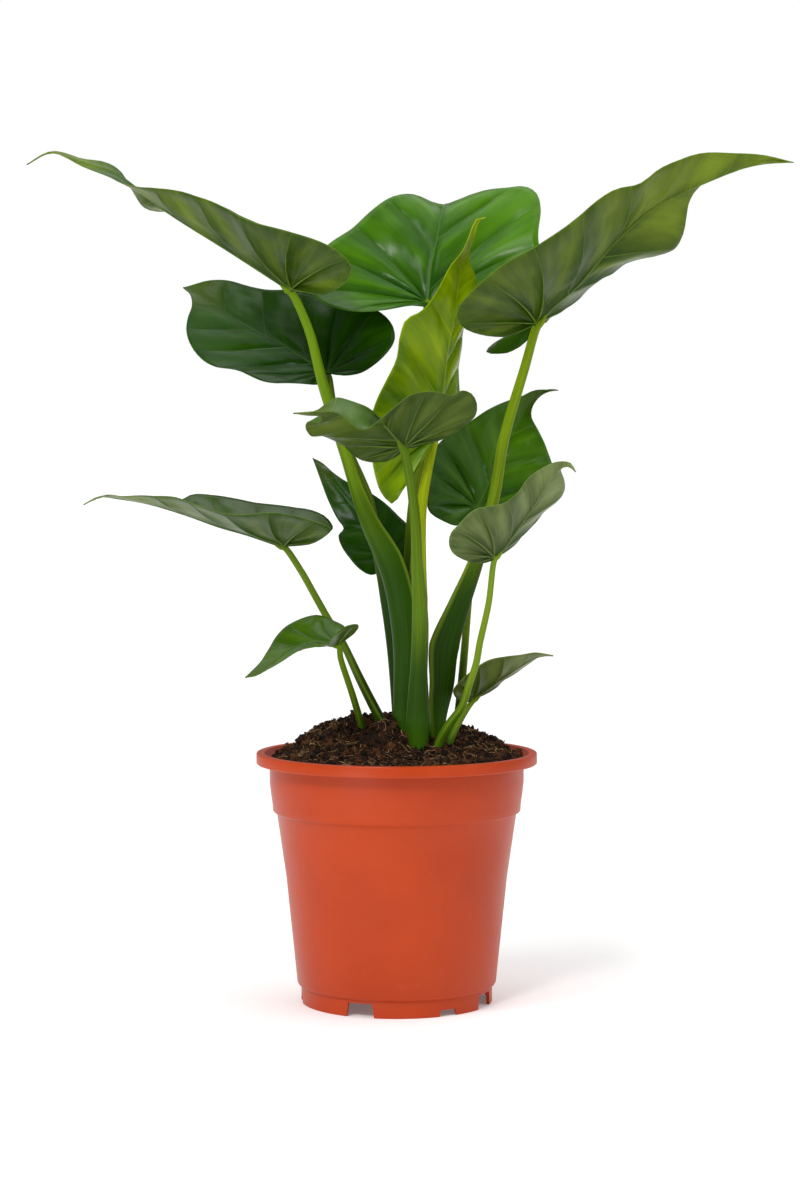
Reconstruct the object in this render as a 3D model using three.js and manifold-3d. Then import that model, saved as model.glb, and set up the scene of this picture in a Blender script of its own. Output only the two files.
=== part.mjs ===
// Potted chinese taro: one young plant with twelve leaves in a plastic nursery pot.
// Millimetres, +Z up. The origin is on the pot's axis at the floor, and -Y is the front.

import * as THREE from 'three';
import { mergeVertices } from 'three/addons/utils/BufferGeometryUtils.js';
import Module from 'manifold-3d';

const wasm = await Module();
wasm.setup();

// Driving dimensions

const RIM_RADIUS = 85;
const POT_HEIGHT = 151.7;
const LIP_HEIGHT = 6.7;
const LIP_WIDTH = 5;
const WALL = 1.5;
const FLOOR_HEIGHT = 9;
const FOOT_RADIUS = 58;
const FOOT_WIDTH = 2;
const CLEARANCE = 0.45;
const SOIL_CLEARANCE = 0.55;
const BLADE_THICKNESS = 0.9;
const RIB_DEPTH = 0.8;
const SLIVER = 0.03;

const POT_SEGMENTS = 44;
const SOIL_SEGMENTS = 36;
const BLADE_ROWS = 14;
const STALK_RINGS = 13;
const STALK_SIDES = 8;

// Colours

const TERRACOTTA = { color: 0xbe4626, roughness: 0.4 };
const PEAT = { color: 0x3a2416, roughness: 0.95 };
const PETIOLE_GREEN = { color: 0x6f8a2c, roughness: 0.45 };
const LEAF_GREEN = { color: 0x3f6d1c, roughness: 0.4 };
const YOUNG_GREEN = { color: 0x8a9a1c, roughness: 0.4 };

// Leaf blades: the midrib runs from the stalk to the tip, and each margin runs from the
// stalk round its lobe to the tip. Left and right are as seen on the upper side with the
// tip ahead. wave is the height, count and phase of the margin's ripple.

const BLADES = {
  blade_upper_left: {
    midrib: [
      [-63, -10, 430], [-100, 0, 454], [-133, 15, 475], [-150, 25, 487], [-163, 33, 498],
      [-175, 40, 506], [-193, 47, 512], [-215, 55, 519], [-230, 58, 512],
    ],
    left: [
      [-63, -10, 430], [-56, -22, 427], [-43, -38, 425], [-31, -50, 430], [-26, -56, 439],
      [-34, -57, 448], [-60, -50, 460], [-86, -42, 468], [-106, -28, 478], [-128, -10, 488],
      [-145, 4, 492], [-157, 14, 493], [-167, 24, 496], [-178, 34, 502], [-193, 44, 509],
      [-215, 54, 519], [-230, 58, 512],
    ],
    right: [
      [-63, -10, 430], [-57, -4, 428], [-45, 4, 428], [-36, 10, 433], [-34, 16, 445],
      [-50, 22, 456], [-71, 28, 467], [-93, 34, 477], [-110, 38, 484], [-127, 38, 486],
      [-142, 36, 481], [-154, 36, 483], [-163, 40, 494], [-171, 44, 506], [-180, 48, 512],
      [-194, 51, 515], [-214, 56, 520], [-230, 58, 512],
    ],
    wave: [0.8, 4, 0.2],
  },
  blade_middle_left: {
    midrib: [
      [-43, 42, 382], [-57, 50, 391], [-72, 61, 401], [-89, 72, 410], [-106, 84, 420],
      [-122, 95, 431], [-137, 104, 439],
    ],
    left: [
      [-43, 42, 382], [-42, 36, 379], [-46, 30, 375], [-55, 24, 374], [-68, 22, 375],
      [-82, 26, 377], [-96, 33, 382], [-111, 42, 386], [-122, 51, 392], [-129, 60, 400],
      [-132, 68, 409], [-132, 77, 418], [-130, 86, 426], [-132, 96, 434], [-137, 104, 439],
    ],
    right: [
      [-43, 42, 382], [-39, 38, 381], [-32, 32, 380], [-21, 28, 382], [-9, 26, 390],
      [-2, 28, 400], [-2, 33, 409], [-8, 42, 418], [-24, 54, 426], [-43, 66, 432],
      [-61, 76, 435], [-79, 84, 436], [-93, 91, 439], [-108, 98, 443], [-121, 103, 443],
      [-130, 105, 441], [-137, 104, 439],
    ],
    wave: [1, 4, 0.6],
  },
  blade_top_back: {
    midrib: [
      [19, 50, 426], [21, 57, 447], [25, 66, 466], [28, 79, 483], [31, 92, 491],
      [35, 102, 486], [37, 112, 473],
    ],
    left: [
      [19, 50, 426], [17, 42, 423], [8, 34, 423], [-8, 28, 420], [-24, 28, 419],
      [-40, 32, 422], [-51, 40, 429], [-56, 46, 440], [-53, 54, 452], [-42, 62, 463],
      [-29, 70, 473], [-17, 78, 485], [-4, 87, 494], [10, 95, 497], [21, 102, 494],
      [30, 108, 486], [37, 112, 473],
    ],
    right: [
      [19, 50, 426], [21, 40, 423], [30, 30, 419], [45, 26, 415], [61, 28, 415],
      [76, 33, 423], [86, 40, 434], [89, 48, 451], [88, 56, 468], [90, 66, 485],
      [88, 74, 496], [81, 82, 501], [68, 88, 500], [54, 95, 499], [43, 101, 496],
      [39, 108, 487], [37, 112, 473],
    ],
    wave: [1.2, 4, 0.1],
  },
  blade_young: {
    midrib: [
      [24, -6, 343], [28, -6, 369], [31, -8, 395], [35, -10, 414], [38, -12, 441],
      [44, -13, 456], [47, -14, 467], [49, -14, 471], [53, -15, 472],
    ],
    left: [
      [24, -6, 343], [20, -8, 335], [15, -12, 328], [10, -16, 319], [4, -18, 311],
      [-3, -20, 302], [-9, -22, 308], [-13, -24, 319], [-15, -25, 333], [-16, -25, 349],
      [-13, -25, 362], [-7, -25, 374], [0, -26, 388], [2, -27, 401], [5, -26, 411],
      [15, -24, 417], [23, -22, 427], [32, -20, 443], [39, -18, 452], [44, -16, 464],
      [47, -15, 471], [53, -15, 472],
    ],
    right: [
      [24, -6, 343], [27, 0, 343], [31, 7, 346], [35, 14, 352], [38, 18, 361],
      [38, 20, 370], [38, 19, 380], [38, 16, 391], [40, 10, 406], [44, 4, 420],
      [48, -2, 432], [47, -6, 439], [44, -9, 446], [44, -11, 453], [47, -13, 463],
      [49, -14, 470], [53, -15, 472],
    ],
    wave: [0.6, 4, 0.4],
    tint: YOUNG_GREEN,
  },
  blade_upper_right: {
    midrib: [
      [83, -20, 409], [91, -22, 418], [107, -27, 432], [127, -35, 455], [151, -45, 476],
      [172, -51, 486], [198, -57, 496], [217, -61, 501], [229, -64, 499],
    ],
    left: [
      [83, -20, 409], [81, -12, 403], [73, -4, 395], [64, 6, 392], [55, 14, 393],
      [61, 26, 401], [76, 34, 409], [91, 36, 416], [101, 31, 421], [111, 24, 426],
      [117, 17, 433], [125, 8, 439], [136, -4, 446], [146, -12, 448], [156, -18, 449],
      [165, -24, 453], [169, -30, 461], [170, -36, 470], [171, -42, 479], [176, -48, 487],
      [189, -54, 493], [209, -60, 498], [229, -64, 499],
    ],
    right: [
      [83, -20, 409], [76, -30, 405], [65, -42, 400], [50, -54, 400], [38, -62, 405],
      [34, -66, 413], [39, -69, 421], [58, -72, 437], [78, -74, 449], [97, -75, 462],
      [114, -75, 475], [126, -74, 482], [140, -72, 486], [151, -70, 495], [161, -68, 500],
      [175, -66, 504], [193, -65, 504], [213, -64, 503], [229, -64, 499],
    ],
    wave: [0.8, 4, 0.7],
  },
  blade_front: {
    midrib: [
      [4, -62, 335], [-1, -68, 342], [-8, -76, 350], [-15, -84, 357], [-25, -90, 361],
      [-34, -95, 363], [-39, -99, 360], [-46, -103, 355], [-58, -108, 354],
    ],
    left: [
      [4, -62, 335], [8, -60, 335], [18, -57, 337], [29, -55, 341], [40, -54, 348],
      [46, -55, 354], [47, -57, 360], [44, -60, 366], [38, -64, 368], [32, -68, 365],
      [25, -72, 367], [16, -76, 367], [7, -82, 364], [-2, -91, 357], [-10, -99, 350],
      [-17, -104, 345], [-22, -106, 345], [-27, -107, 349], [-33, -108, 354],
      [-44, -109, 355], [-58, -108, 354],
    ],
    right: [
      [4, -62, 335], [3, -60, 333], [0, -56, 330], [-7, -52, 327], [-17, -50, 327],
      [-25, -50, 330], [-31, -52, 336], [-38, -56, 340], [-44, -62, 342], [-49, -67, 341],
      [-52, -71, 345], [-52, -75, 349], [-49, -80, 350], [-44, -86, 349], [-43, -92, 352],
      [-50, -101, 353], [-58, -108, 354],
    ],
    wave: [0.4, 4, 0],
  },
  blade_right_back: {
    midrib: [
      [50, 44, 299], [56, 50, 311], [63, 60, 327], [72, 70, 344], [82, 80, 361],
      [90, 86, 370], [96, 90, 373], [103, 92, 373],
    ],
    left: [
      [50, 44, 299], [48, 38, 295], [44, 32, 291], [37, 28, 288], [28, 26, 291],
      [20, 26, 296], [18, 28, 305], [20, 34, 322], [23, 42, 335], [35, 54, 346],
      [45, 60, 352], [57, 68, 360], [70, 76, 366], [79, 80, 369], [88, 85, 373],
      [103, 92, 373],
    ],
    right: [
      [50, 44, 299], [53, 40, 294], [58, 36, 288], [67, 34, 284], [79, 36, 286],
      [90, 42, 295], [97, 50, 309], [98, 56, 321], [94, 64, 336], [89, 70, 347],
      [85, 76, 356], [86, 80, 363], [91, 85, 369], [97, 89, 372], [103, 92, 373],
    ],
    wave: [0.8, 4, 0.3],
  },
  blade_right_front: {
    midrib: [
      [57, -54, 271], [63, -56, 278], [69, -59, 287], [80, -65, 303], [88, -70, 316],
      [94, -73, 323], [98, -75, 326], [103, -78, 321],
    ],
    left: [
      [57, -54, 271], [56, -48, 269], [49, -42, 269], [42, -34, 274], [44, -26, 281],
      [52, -20, 282], [62, -20, 278], [70, -23, 281], [79, -30, 289], [87, -38, 298],
      [95, -46, 304], [98, -54, 311], [97, -62, 317], [95, -70, 323], [99, -74, 324],
      [103, -78, 321],
    ],
    right: [
      [57, -54, 271], [54, -58, 269], [48, -64, 268], [39, -72, 270], [32, -78, 275],
      [30, -80, 280], [31, -82, 286], [36, -84, 291], [44, -85, 299], [49, -85, 301],
      [56, -84, 302], [63, -83, 304], [70, -81, 309], [75, -79, 317], [81, -78, 322],
      [89, -77, 326], [96, -76, 327], [100, -77, 326], [103, -78, 321],
    ],
    wave: [0.5, 4, 0.5],
  },
  blade_low_left: {
    midrib: [
      [-67, -18, 277], [-89, -10, 284], [-108, -2, 289], [-126, 6, 295], [-151, 14, 302],
      [-170, 19, 305], [-182, 22, 306], [-192, 24, 301],
    ],
    left: [
      [-67, -18, 277], [-59, -28, 277], [-51, -36, 278], [-42, -44, 283], [-38, -50, 288],
      [-46, -53, 292], [-58, -54, 295], [-74, -53, 297], [-91, -48, 296], [-106, -40, 298],
      [-119, -30, 301], [-133, -18, 306], [-149, -6, 307], [-166, 6, 306], [-178, 16, 307],
      [-192, 24, 301],
    ],
    right: [
      [-67, -18, 277], [-60, -6, 278], [-53, 6, 279], [-44, 16, 283], [-39, 24, 287],
      [-43, 28, 293], [-52, 30, 297], [-64, 32, 299], [-83, 34, 302], [-104, 34, 305],
      [-119, 33, 307], [-126, 31, 307], [-133, 28, 304], [-148, 26, 304], [-165, 24, 305],
      [-179, 23, 306], [-192, 24, 301],
    ],
    wave: [0.5, 4, 0.8],
  },
  blade_small_left: {
    midrib: [
      [-34, -48, 220], [-45, -56, 222], [-56, -64, 221], [-65, -71, 216], [-75, -77, 209],
      [-82, -80, 205], [-87, -82, 203],
    ],
    left: [
      [-34, -48, 220], [-30, -54, 223], [-25, -60, 227], [-22, -66, 231], [-23, -72, 233],
      [-29, -78, 232], [-35, -82, 228], [-40, -85, 223], [-47, -86, 221], [-55, -86, 219],
      [-65, -85, 213], [-74, -84, 208], [-81, -83, 204], [-87, -82, 203],
    ],
    right: [
      [-34, -48, 220], [-32, -40, 221], [-29, -30, 225], [-31, -22, 229], [-38, -16, 232],
      [-47, -14, 235], [-55, -18, 234], [-65, -26, 230], [-71, -36, 224], [-75, -50, 217],
      [-80, -66, 210], [-87, -82, 203],
    ],
    wave: [0.3, 3, 0.2],
  },
  blade_small_right: {
    midrib: [
      [46, 2, 183], [53, 0, 189], [62, -4, 196], [72, -8, 203], [81, -11, 209],
      [89, -13, 211], [94, -15, 211],
    ],
    left: [
      [46, 2, 183], [42, 7, 185], [40, 12, 188], [44, 17, 191], [50, 19, 189],
      [57, 18, 188], [64, 14, 193], [71, 9, 198], [80, 2, 205], [87, -8, 210],
      [94, -15, 211],
    ],
    right: [
      [46, 2, 183], [43, -3, 182], [39, -8, 183], [35, -13, 186], [34, -16, 190],
      [37, -18, 195], [46, -20, 203], [54, -22, 208], [64, -23, 211], [74, -22, 212],
      [83, -19, 213], [90, -17, 212], [94, -15, 211],
    ],
    wave: [0.3, 3, 0.6],
  },
  blade_behind: {
    midrib: [
      [-5, 32, 269], [-10, 35, 276], [-18, 40, 288], [-29, 47, 302], [-40, 54, 315],
      [-47, 59, 323], [-53, 62, 330],
    ],
    left: [
      [-5, 32, 269], [-6, 28, 265], [-10, 25, 260], [-16, 24, 258], [-22, 24, 261],
      [-29, 27, 268], [-34, 32, 275], [-36, 37, 282], [-33, 42, 286], [-37, 45, 292],
      [-43, 50, 304], [-48, 56, 317], [-51, 60, 325], [-53, 62, 330],
    ],
    right: [
      [-5, 32, 269], [-2, 28, 265], [3, 26, 264], [6, 26, 269], [7, 28, 278],
      [7, 33, 288], [2, 36, 293], [-4, 39, 299], [-10, 42, 304], [-18, 46, 309],
      [-25, 49, 312], [-33, 53, 316], [-40, 57, 321], [-47, 60, 327], [-53, 62, 330],
    ],
    wave: [0.4, 3, 0.1],
  },
};

// Leaf stalks, from the soil up to the blade. open is the side on which the sheath opens.
// Each section gives its place along the stalk, half width, depth of the closed side,
// thickness of the sheath's floor and height of its edges; a floor of twice the depth is round.

const STALKS = {
  upper_left: {
    path: [
      [2, -6, 146], [3, -7, 184], [3, -8, 218], [-2, -9, 252], [-8, -10, 270],
      [-15, -10, 286], [-21, -10, 302], [-30, -10, 331], [-33, -10, 340], [-44, -9, 373],
      [-53, -8, 407], [-63, -8, 430],
    ],
    open: [0.8, 0.6, 0],
    sections: [
      [0, 6, 5, 5, 3], [0.12, 8, 5, 5, 4], [0.3, 11, 5, 4, 6], [0.42, 10, 5, 4, 6],
      [0.5, 7, 5, 5, 3], [0.6, 4.5, 4, 7, 0], [0.8, 3.2, 3.2, 6.4, 0], [1, 2.4, 2.4, 4.8, 0],
    ],
    blade: 'blade_upper_left',
  },
  middle_left: {
    path: [
      [3, 6, 146], [-2, 8, 213], [-7, 10, 249], [-13, 13, 280], [-16, 15, 302],
      [-21, 18, 315], [-29, 23, 333], [-39, 34, 362], [-43, 43, 382],
    ],
    open: [0.8, 0.4, 0],
    sections: [
      [0, 5, 4, 5, 2], [0.4, 4, 4, 6, 0], [0.6, 2.8, 2.8, 5.6, 0], [1, 2.2, 2.2, 4.4, 0],
    ],
    blade: 'blade_middle_left',
  },
  top_back: {
    path: [
      [12, 4, 146], [10, 7, 219], [9, 9, 268], [11, 14, 304], [15, 25, 334],
      [17, 35, 365], [18, 45, 403], [19, 50, 426],
    ],
    open: [0, -1, 0],
    sections: [
      [0, 6, 4, 5, 2], [0.4, 5, 4, 6, 0], [0.6, 3.4, 3.4, 6.8, 0], [1, 2.4, 2.4, 4.8, 0],
    ],
    blade: 'blade_top_back',
  },
  young: {
    path: [
      [13, -4, 146], [13, -4, 220], [13, -4, 267], [15, -4, 301], [20, -3, 329],
      [24, -5, 343],
    ],
    open: [-0.3, -1, 0],
    sections: [
      [0, 6, 4, 5, 2], [0.5, 6, 4, 6, 0], [0.75, 3.5, 3.5, 7, 0], [1, 2.6, 2.6, 5.2, 0],
    ],
    blade: 'blade_young',
  },
  upper_right: {
    path: [
      [23, 0, 146], [24, 0, 174], [27, 0, 193], [29, -1, 216], [38, -4, 242],
      [47, -7, 267], [58, -11, 304], [64, -14, 340], [76, -17, 382], [83, -19, 409],
    ],
    open: [-1, 0.1, 0],
    sections: [
      [0, 5, 5, 9, 1], [0.08, 6, 6, 9, 2], [0.15, 6.5, 7.5, 7, 6], [0.26, 7, 9, 6, 9],
      [0.35, 6, 6.7, 6, 6.7], [0.45, 5, 5.4, 7, 4], [0.58, 3.6, 3.6, 7.2, 0],
      [1, 2.6, 2.6, 5.2, 0],
    ],
    blade: 'blade_upper_right',
  },
  front: {
    path: [
      [13, -22, 143], [13, -23, 170], [13, -25, 194], [14, -31, 232], [12, -40, 268],
      [11, -47, 292], [8, -55, 316], [4, -62, 335],
    ],
    open: [0, 1, 0],
    sections: [
      [0, 3, 3, 6, 0], [0.14, 7.5, 5, 5, 2], [0.3, 5.2, 4.5, 6, 1], [0.45, 5, 4, 6.5, 1],
      [0.65, 3.4, 3.2, 6.4, 0], [1, 2.4, 2.4, 4.8, 0],
    ],
    blade: 'blade_front',
  },
  low_left: {
    path: [
      [4, 4, 146], [-7, 4, 167], [-14, 2, 180], [-23, -2, 198], [-32, -6, 217],
      [-42, -9, 234], [-48, -12, 245], [-58, -15, 263], [-67, -18, 277],
    ],
    open: [1, 0, 0],
    sections: [
      [0, 6, 4, 6, 1], [0.14, 6, 4, 6, 1], [0.24, 4.5, 3.5, 6, 0.5], [0.36, 3.2, 3, 5.5, 0],
      [0.5, 2.3, 2.3, 4.6, 0], [1, 1.9, 1.9, 3.8, 0],
    ],
    blade: 'blade_low_left',
  },
  behind: {
    path: [[3, 12, 146], [2, 15, 182], [0, 19, 212], [-2, 25, 242], [-5, 32, 269]],
    open: [0, -1, 0],
    sections: [[0, 4, 3, 5, 0], [0.4, 2.5, 2.2, 4.4, 0], [1, 1.8, 1.8, 3.6, 0]],
    blade: 'blade_behind',
  },
  right_back: {
    path: [
      [35, 20, 140], [36, 23, 152], [40, 34, 189], [42, 38, 211], [44, 41, 235],
      [47, 44, 266], [50, 45, 299],
    ],
    open: [0, -1, 0],
    sections: [[0, 3, 3, 6, 0], [1, 1.7, 1.7, 3.4, 0]],
    blade: 'blade_right_back',
  },
  right_front: {
    path: [
      [23, -17, 142], [25, -17, 158], [31, -22, 170], [39, -28, 182], [43, -34, 195],
      [47, -38, 208], [49, -42, 220], [54, -48, 244], [57, -54, 271],
    ],
    open: [-1, 0.4, 0],
    sections: [
      [0, 3.2, 3, 5.5, 0], [0.2, 3.2, 3, 5.5, 0], [0.35, 2.2, 2.2, 4.4, 0],
      [1, 1.7, 1.7, 3.4, 0],
    ],
    blade: 'blade_right_front',
  },
  small_left: {
    path: [
      [-17, 1, 148], [-20, 3, 162], [-26, -16, 186], [-33, -40, 211], [-34, -48, 220],
    ],
    open: [1, 0, 0],
    sections: [[0, 2.4, 2.4, 4.8, 0], [1, 1.7, 1.7, 3.4, 0]],
    blade: 'blade_small_left',
  },
  small_right: {
    path: [[28, -12, 140], [32, -8, 158], [39, -3, 172], [46, 1, 183]],
    open: [1, 0, 0],
    sections: [[0, 2.8, 2.8, 5.6, 0], [0.3, 2.4, 2.4, 4.8, 0], [1, 1.6, 1.6, 3.2, 0]],
    blade: 'blade_small_right',
  },
};

const MAIN_SHOOT = [
  'upper_left', 'middle_left', 'top_back', 'young', 'upper_right', 'front', 'low_left',
  'behind',
];
const SIDE_STALKS = ['right_back', 'right_front', 'small_left', 'small_right'];

// Solid helpers

function smooth(points) {
  const vectors = points.map((point) => new THREE.Vector3(...point));
  const curve = new THREE.CatmullRomCurve3(vectors, false, 'centripetal');
  curve.arcLengthDivisions = 400;
  return curve;
}

function meshGeometry(positions, triangles) {
  const geometry = new THREE.BufferGeometry();
  geometry.setAttribute('position', new THREE.Float32BufferAttribute(positions.flat(), 3));
  geometry.setIndex(triangles.flat());
  return geometry;
}

function signedVolume(positions, index) {
  const corners = [new THREE.Vector3(), new THREE.Vector3(), new THREE.Vector3()];
  let volume = 0;
  for (let i = 0; i < index.length; i += 3) {
    corners.forEach((corner, k) => corner.fromArray(positions, index[i + k] * 3));
    volume += corners[0].dot(corners[1].cross(corners[2])) / 6;
  }
  return volume;
}

function toSolid(source) {
  const bare = source.clone();
  bare.deleteAttribute('normal');
  bare.deleteAttribute('uv');
  const geometry = mergeVertices(bare, 1e-4);
  const positions = Float32Array.from(geometry.attributes.position.array);
  const index = Uint32Array.from(geometry.index.array);
  if (signedVolume(positions, index) < 0) {
    index.reverse();
  }
  return new wasm.Manifold(new wasm.Mesh({
    numProp: 3,
    vertProperties: positions,
    triVerts: index,
  }));
}

function toGeometry(solid) {
  const mesh = solid.getMesh();
  const geometry = new THREE.BufferGeometry();
  geometry.setAttribute('position', new THREE.BufferAttribute(mesh.vertProperties, 3));
  geometry.setIndex(new THREE.BufferAttribute(mesh.triVerts, 1));
  geometry.computeVertexNormals();
  return geometry;
}

function largestPiece(solid) {
  const pieces = solid.decompose();
  pieces.sort((a, b) => b.volume() - a.volume());
  return pieces[0];
}

function named(name, geometry, finish) {
  const material = new THREE.MeshStandardMaterial({ ...finish, metalness: 0 });
  const mesh = new THREE.Mesh(geometry, material);
  mesh.name = name;
  return mesh;
}

// Leaf blades

const LOBE_SHARE = 0.36;
const VEIN_SWEEP = 1.6;
const VEIN_BOW = 0.07;
const CUP = 0.06;
const COLUMNS = [0, 0.07, 0.38, 0.72, 1];

function waveAt(wave, u, v) {
  const [height, count, phase] = wave;
  const fade = Math.sqrt(Math.sin(Math.PI * u));
  return height * v * v * fade * Math.sin(2 * Math.PI * (count * u + phase));
}

function bladeRow(blade, midrib, margin, side, u) {
  const along = Math.max((u - LOBE_SHARE) / (1 - LOBE_SHARE), 0) ** VEIN_SWEEP;
  const root = midrib.getPointAt(along);
  const ahead = midrib.getTangentAt(along);
  const chord = margin.getPointAt(u).sub(root);
  const length = chord.length();
  const normal = ahead.clone().cross(chord).normalize().multiplyScalar(side);
  const forward = normal.clone().cross(chord).normalize().multiplyScalar(-side);
  const fade = Math.sqrt(Math.sin(Math.PI * u));
  return COLUMNS.map((v) => {
    const hump = 4 * v * (1 - v) * length * fade;
    return root.clone()
      .addScaledVector(chord, v)
      .addScaledVector(normal, waveAt(blade.wave, u, v) - CUP * hump)
      .addScaledVector(forward, VEIN_BOW * hump);
  });
}

// The mid surface of a blade: its points, triangles and rim, from one lobe to the other.
function bladeSurface(blade) {
  const midrib = smooth(blade.midrib);
  const points = [midrib.getPointAt(0)];
  const triangles = [];
  const columns = COLUMNS.length;
  const tipIndex = points.push(midrib.getPointAt(1)) - 1;
  const ribIndex = new Map();
  const rims = [];
  for (const side of [1, -1]) {
    const margin = smooth(side > 0 ? blade.left : blade.right);
    const rows = [];
    for (let i = 1; i < BLADE_ROWS; i += 1) {
      const u = i / BLADE_ROWS;
      const inLobe = u <= LOBE_SHARE;
      const row = bladeRow(blade, midrib, margin, side, u).map((point, j) => {
        if (j === 0 && inLobe) {
          return 0;
        }
        if (j === 0 && ribIndex.has(i)) {
          return ribIndex.get(i);
        }
        points.push(point);
        return points.length - 1;
      });
      ribIndex.set(i, row[0]);
      rows.push(row);
    }
    rows.push(new Array(columns).fill(tipIndex));
    const addTriangle = (a, b, c) => {
      if (a !== b && b !== c && c !== a) {
        triangles.push(side > 0 ? [a, b, c] : [a, c, b]);
      }
    };
    for (let i = 0; i + 1 < rows.length; i += 1) {
      for (let j = 0; j + 1 < columns; j += 1) {
        addTriangle(rows[i][j], rows[i + 1][j], rows[i + 1][j + 1]);
        addTriangle(rows[i][j], rows[i + 1][j + 1], rows[i][j + 1]);
      }
    }
    const outer = rows.slice(0, -1).map((row) => row[columns - 1]);
    rims.push([...rows[0].slice(1, -1), ...outer]);
  }
  const rim = [0, ...rims[0], tipIndex, ...rims[1].reverse()];
  const ribs = new Set([0, ...ribIndex.values()]);
  return { points, triangles, rim, ribs };
}

function bladeSolid(blade) {
  const { points, triangles, rim, ribs } = bladeSurface(blade);
  const middle = meshGeometry(points.map((point) => point.toArray()), triangles);
  middle.computeVertexNormals();
  const normals = middle.attributes.normal;
  const half = BLADE_THICKNESS / 2;
  const upper = [];
  const lower = [];
  points.forEach((point, i) => {
    const normal = new THREE.Vector3().fromBufferAttribute(normals, i);
    const below = half + (ribs.has(i) ? RIB_DEPTH : 0);
    upper.push(point.clone().addScaledVector(normal, half).toArray());
    lower.push(point.clone().addScaledVector(normal, -below).toArray());
  });
  const count = points.length;
  const faces = [];
  for (const [a, b, c] of triangles) {
    faces.push([a, b, c], [a + count, c + count, b + count]);
  }
  rim.forEach((a, k) => {
    const b = rim[(k + 1) % rim.length];
    faces.push([a, b, b + count], [a, b + count, a + count]);
  });
  return toSolid(meshGeometry([...upper, ...lower], faces));
}

// Leaf stalks

function sectionAt(sections, t) {
  const last = sections.length - 1;
  const next = Math.min(Math.max(sections.findIndex((section) => section[0] >= t), 1), last);
  const [low, high] = [sections[next - 1], sections[next]];
  const share = (t - low[0]) / (high[0] - low[0]);
  return low.slice(1).map((value, k) => value + (high[k + 1] - value) * share);
}

function stalkSolid(stalk, grow = 0) {
  const path = smooth(stalk.path);
  const open = new THREE.Vector3(...stalk.open);
  const positions = [];
  const faces = [];
  for (let i = 0; i <= STALK_RINGS; i += 1) {
    const t = i / STALK_RINGS;
    const tangent = path.getTangentAt(t);
    const centre = path.getPointAt(t).addScaledVector(tangent, i === 0 ? -grow : 0);
    const outward = open.clone().addScaledVector(tangent, -open.dot(tangent)).normalize();
    const across = tangent.clone().cross(outward);
    const [width, depth, floor, edge] = sectionAt(stalk.sections, t);
    const lift = edge > 0 ? edge + grow : 0;
    for (let j = 0; j < STALK_SIDES; j += 1) {
      const angle = (2 * Math.PI * j) / STALK_SIDES;
      const rise = Math.abs(Math.sin(angle));
      const base = lift * Math.cos(angle) ** 2 - (depth + grow) * rise;
      const inner = Math.sin(angle) > 1e-6 ? (floor + 2 * grow) * rise : 0;
      positions.push(centre.clone()
        .addScaledVector(across, (width + grow) * Math.cos(angle))
        .addScaledVector(outward, base + inner)
        .toArray());
    }
  }
  const ring = (i, j) => i * STALK_SIDES + (j % STALK_SIDES);
  for (let i = 0; i < STALK_RINGS; i += 1) {
    for (let j = 0; j < STALK_SIDES; j += 1) {
      faces.push([ring(i, j), ring(i, j + 1), ring(i + 1, j + 1)]);
      faces.push([ring(i, j), ring(i + 1, j + 1), ring(i + 1, j)]);
    }
  }
  const root = path.getPointAt(0).addScaledVector(path.getTangentAt(0), -grow);
  const bottom = positions.push(root.toArray()) - 1;
  const top = positions.push(path.getPointAt(1).toArray()) - 1;
  for (let j = 0; j < STALK_SIDES; j += 1) {
    faces.push([bottom, ring(0, j + 1), ring(0, j)]);
    faces.push([top, ring(STALK_RINGS, j), ring(STALK_RINGS, j + 1)]);
  }
  return toSolid(meshGeometry(positions, faces));
}

// The short stem in the soil that the main shoot's stalks grow from.

const STEM = { x: 11, y: -8, top: 152, bottom: 124, topRadius: 9, bottomRadius: 6, stretch: 1.75 };

function stemSolid(grow = 0) {
  const height = STEM.top - STEM.bottom + 2 * grow;
  const cone = new THREE.CylinderGeometry(
    STEM.topRadius + grow, STEM.bottomRadius + grow, height, 20,
  );
  cone.rotateX(Math.PI / 2);
  cone.scale(1, STEM.stretch, 1);
  cone.translate(STEM.x, STEM.y, (STEM.top + STEM.bottom) / 2);
  return toSolid(cone);
}

function joined(solids) {
  return solids.reduce((all, solid) => all.add(solid));
}

// A solid widened by the clearance along each axis.
function widened(solid) {
  const steps = [CLEARANCE, -CLEARANCE];
  const shifts = steps.flatMap((step) => [[step, 0, 0], [0, step, 0], [0, 0, step]]);
  return joined([solid, ...shifts.map((shift) => solid.translate(shift))]);
}

// Trims a stalk where it meets the blades it carries.
function trimmed(solid, names) {
  const cut = names.reduce(
    (rest, name) => rest.subtract(widened(bladeSolid(BLADES[STALKS[name].blade]))),
    solid,
  );
  return largestPiece(cut);
}

function mainShoot(grow = 0) {
  return joined([stemSolid(grow), ...MAIN_SHOOT.map((name) => stalkSolid(STALKS[name], grow))]);
}

// Pot

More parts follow.
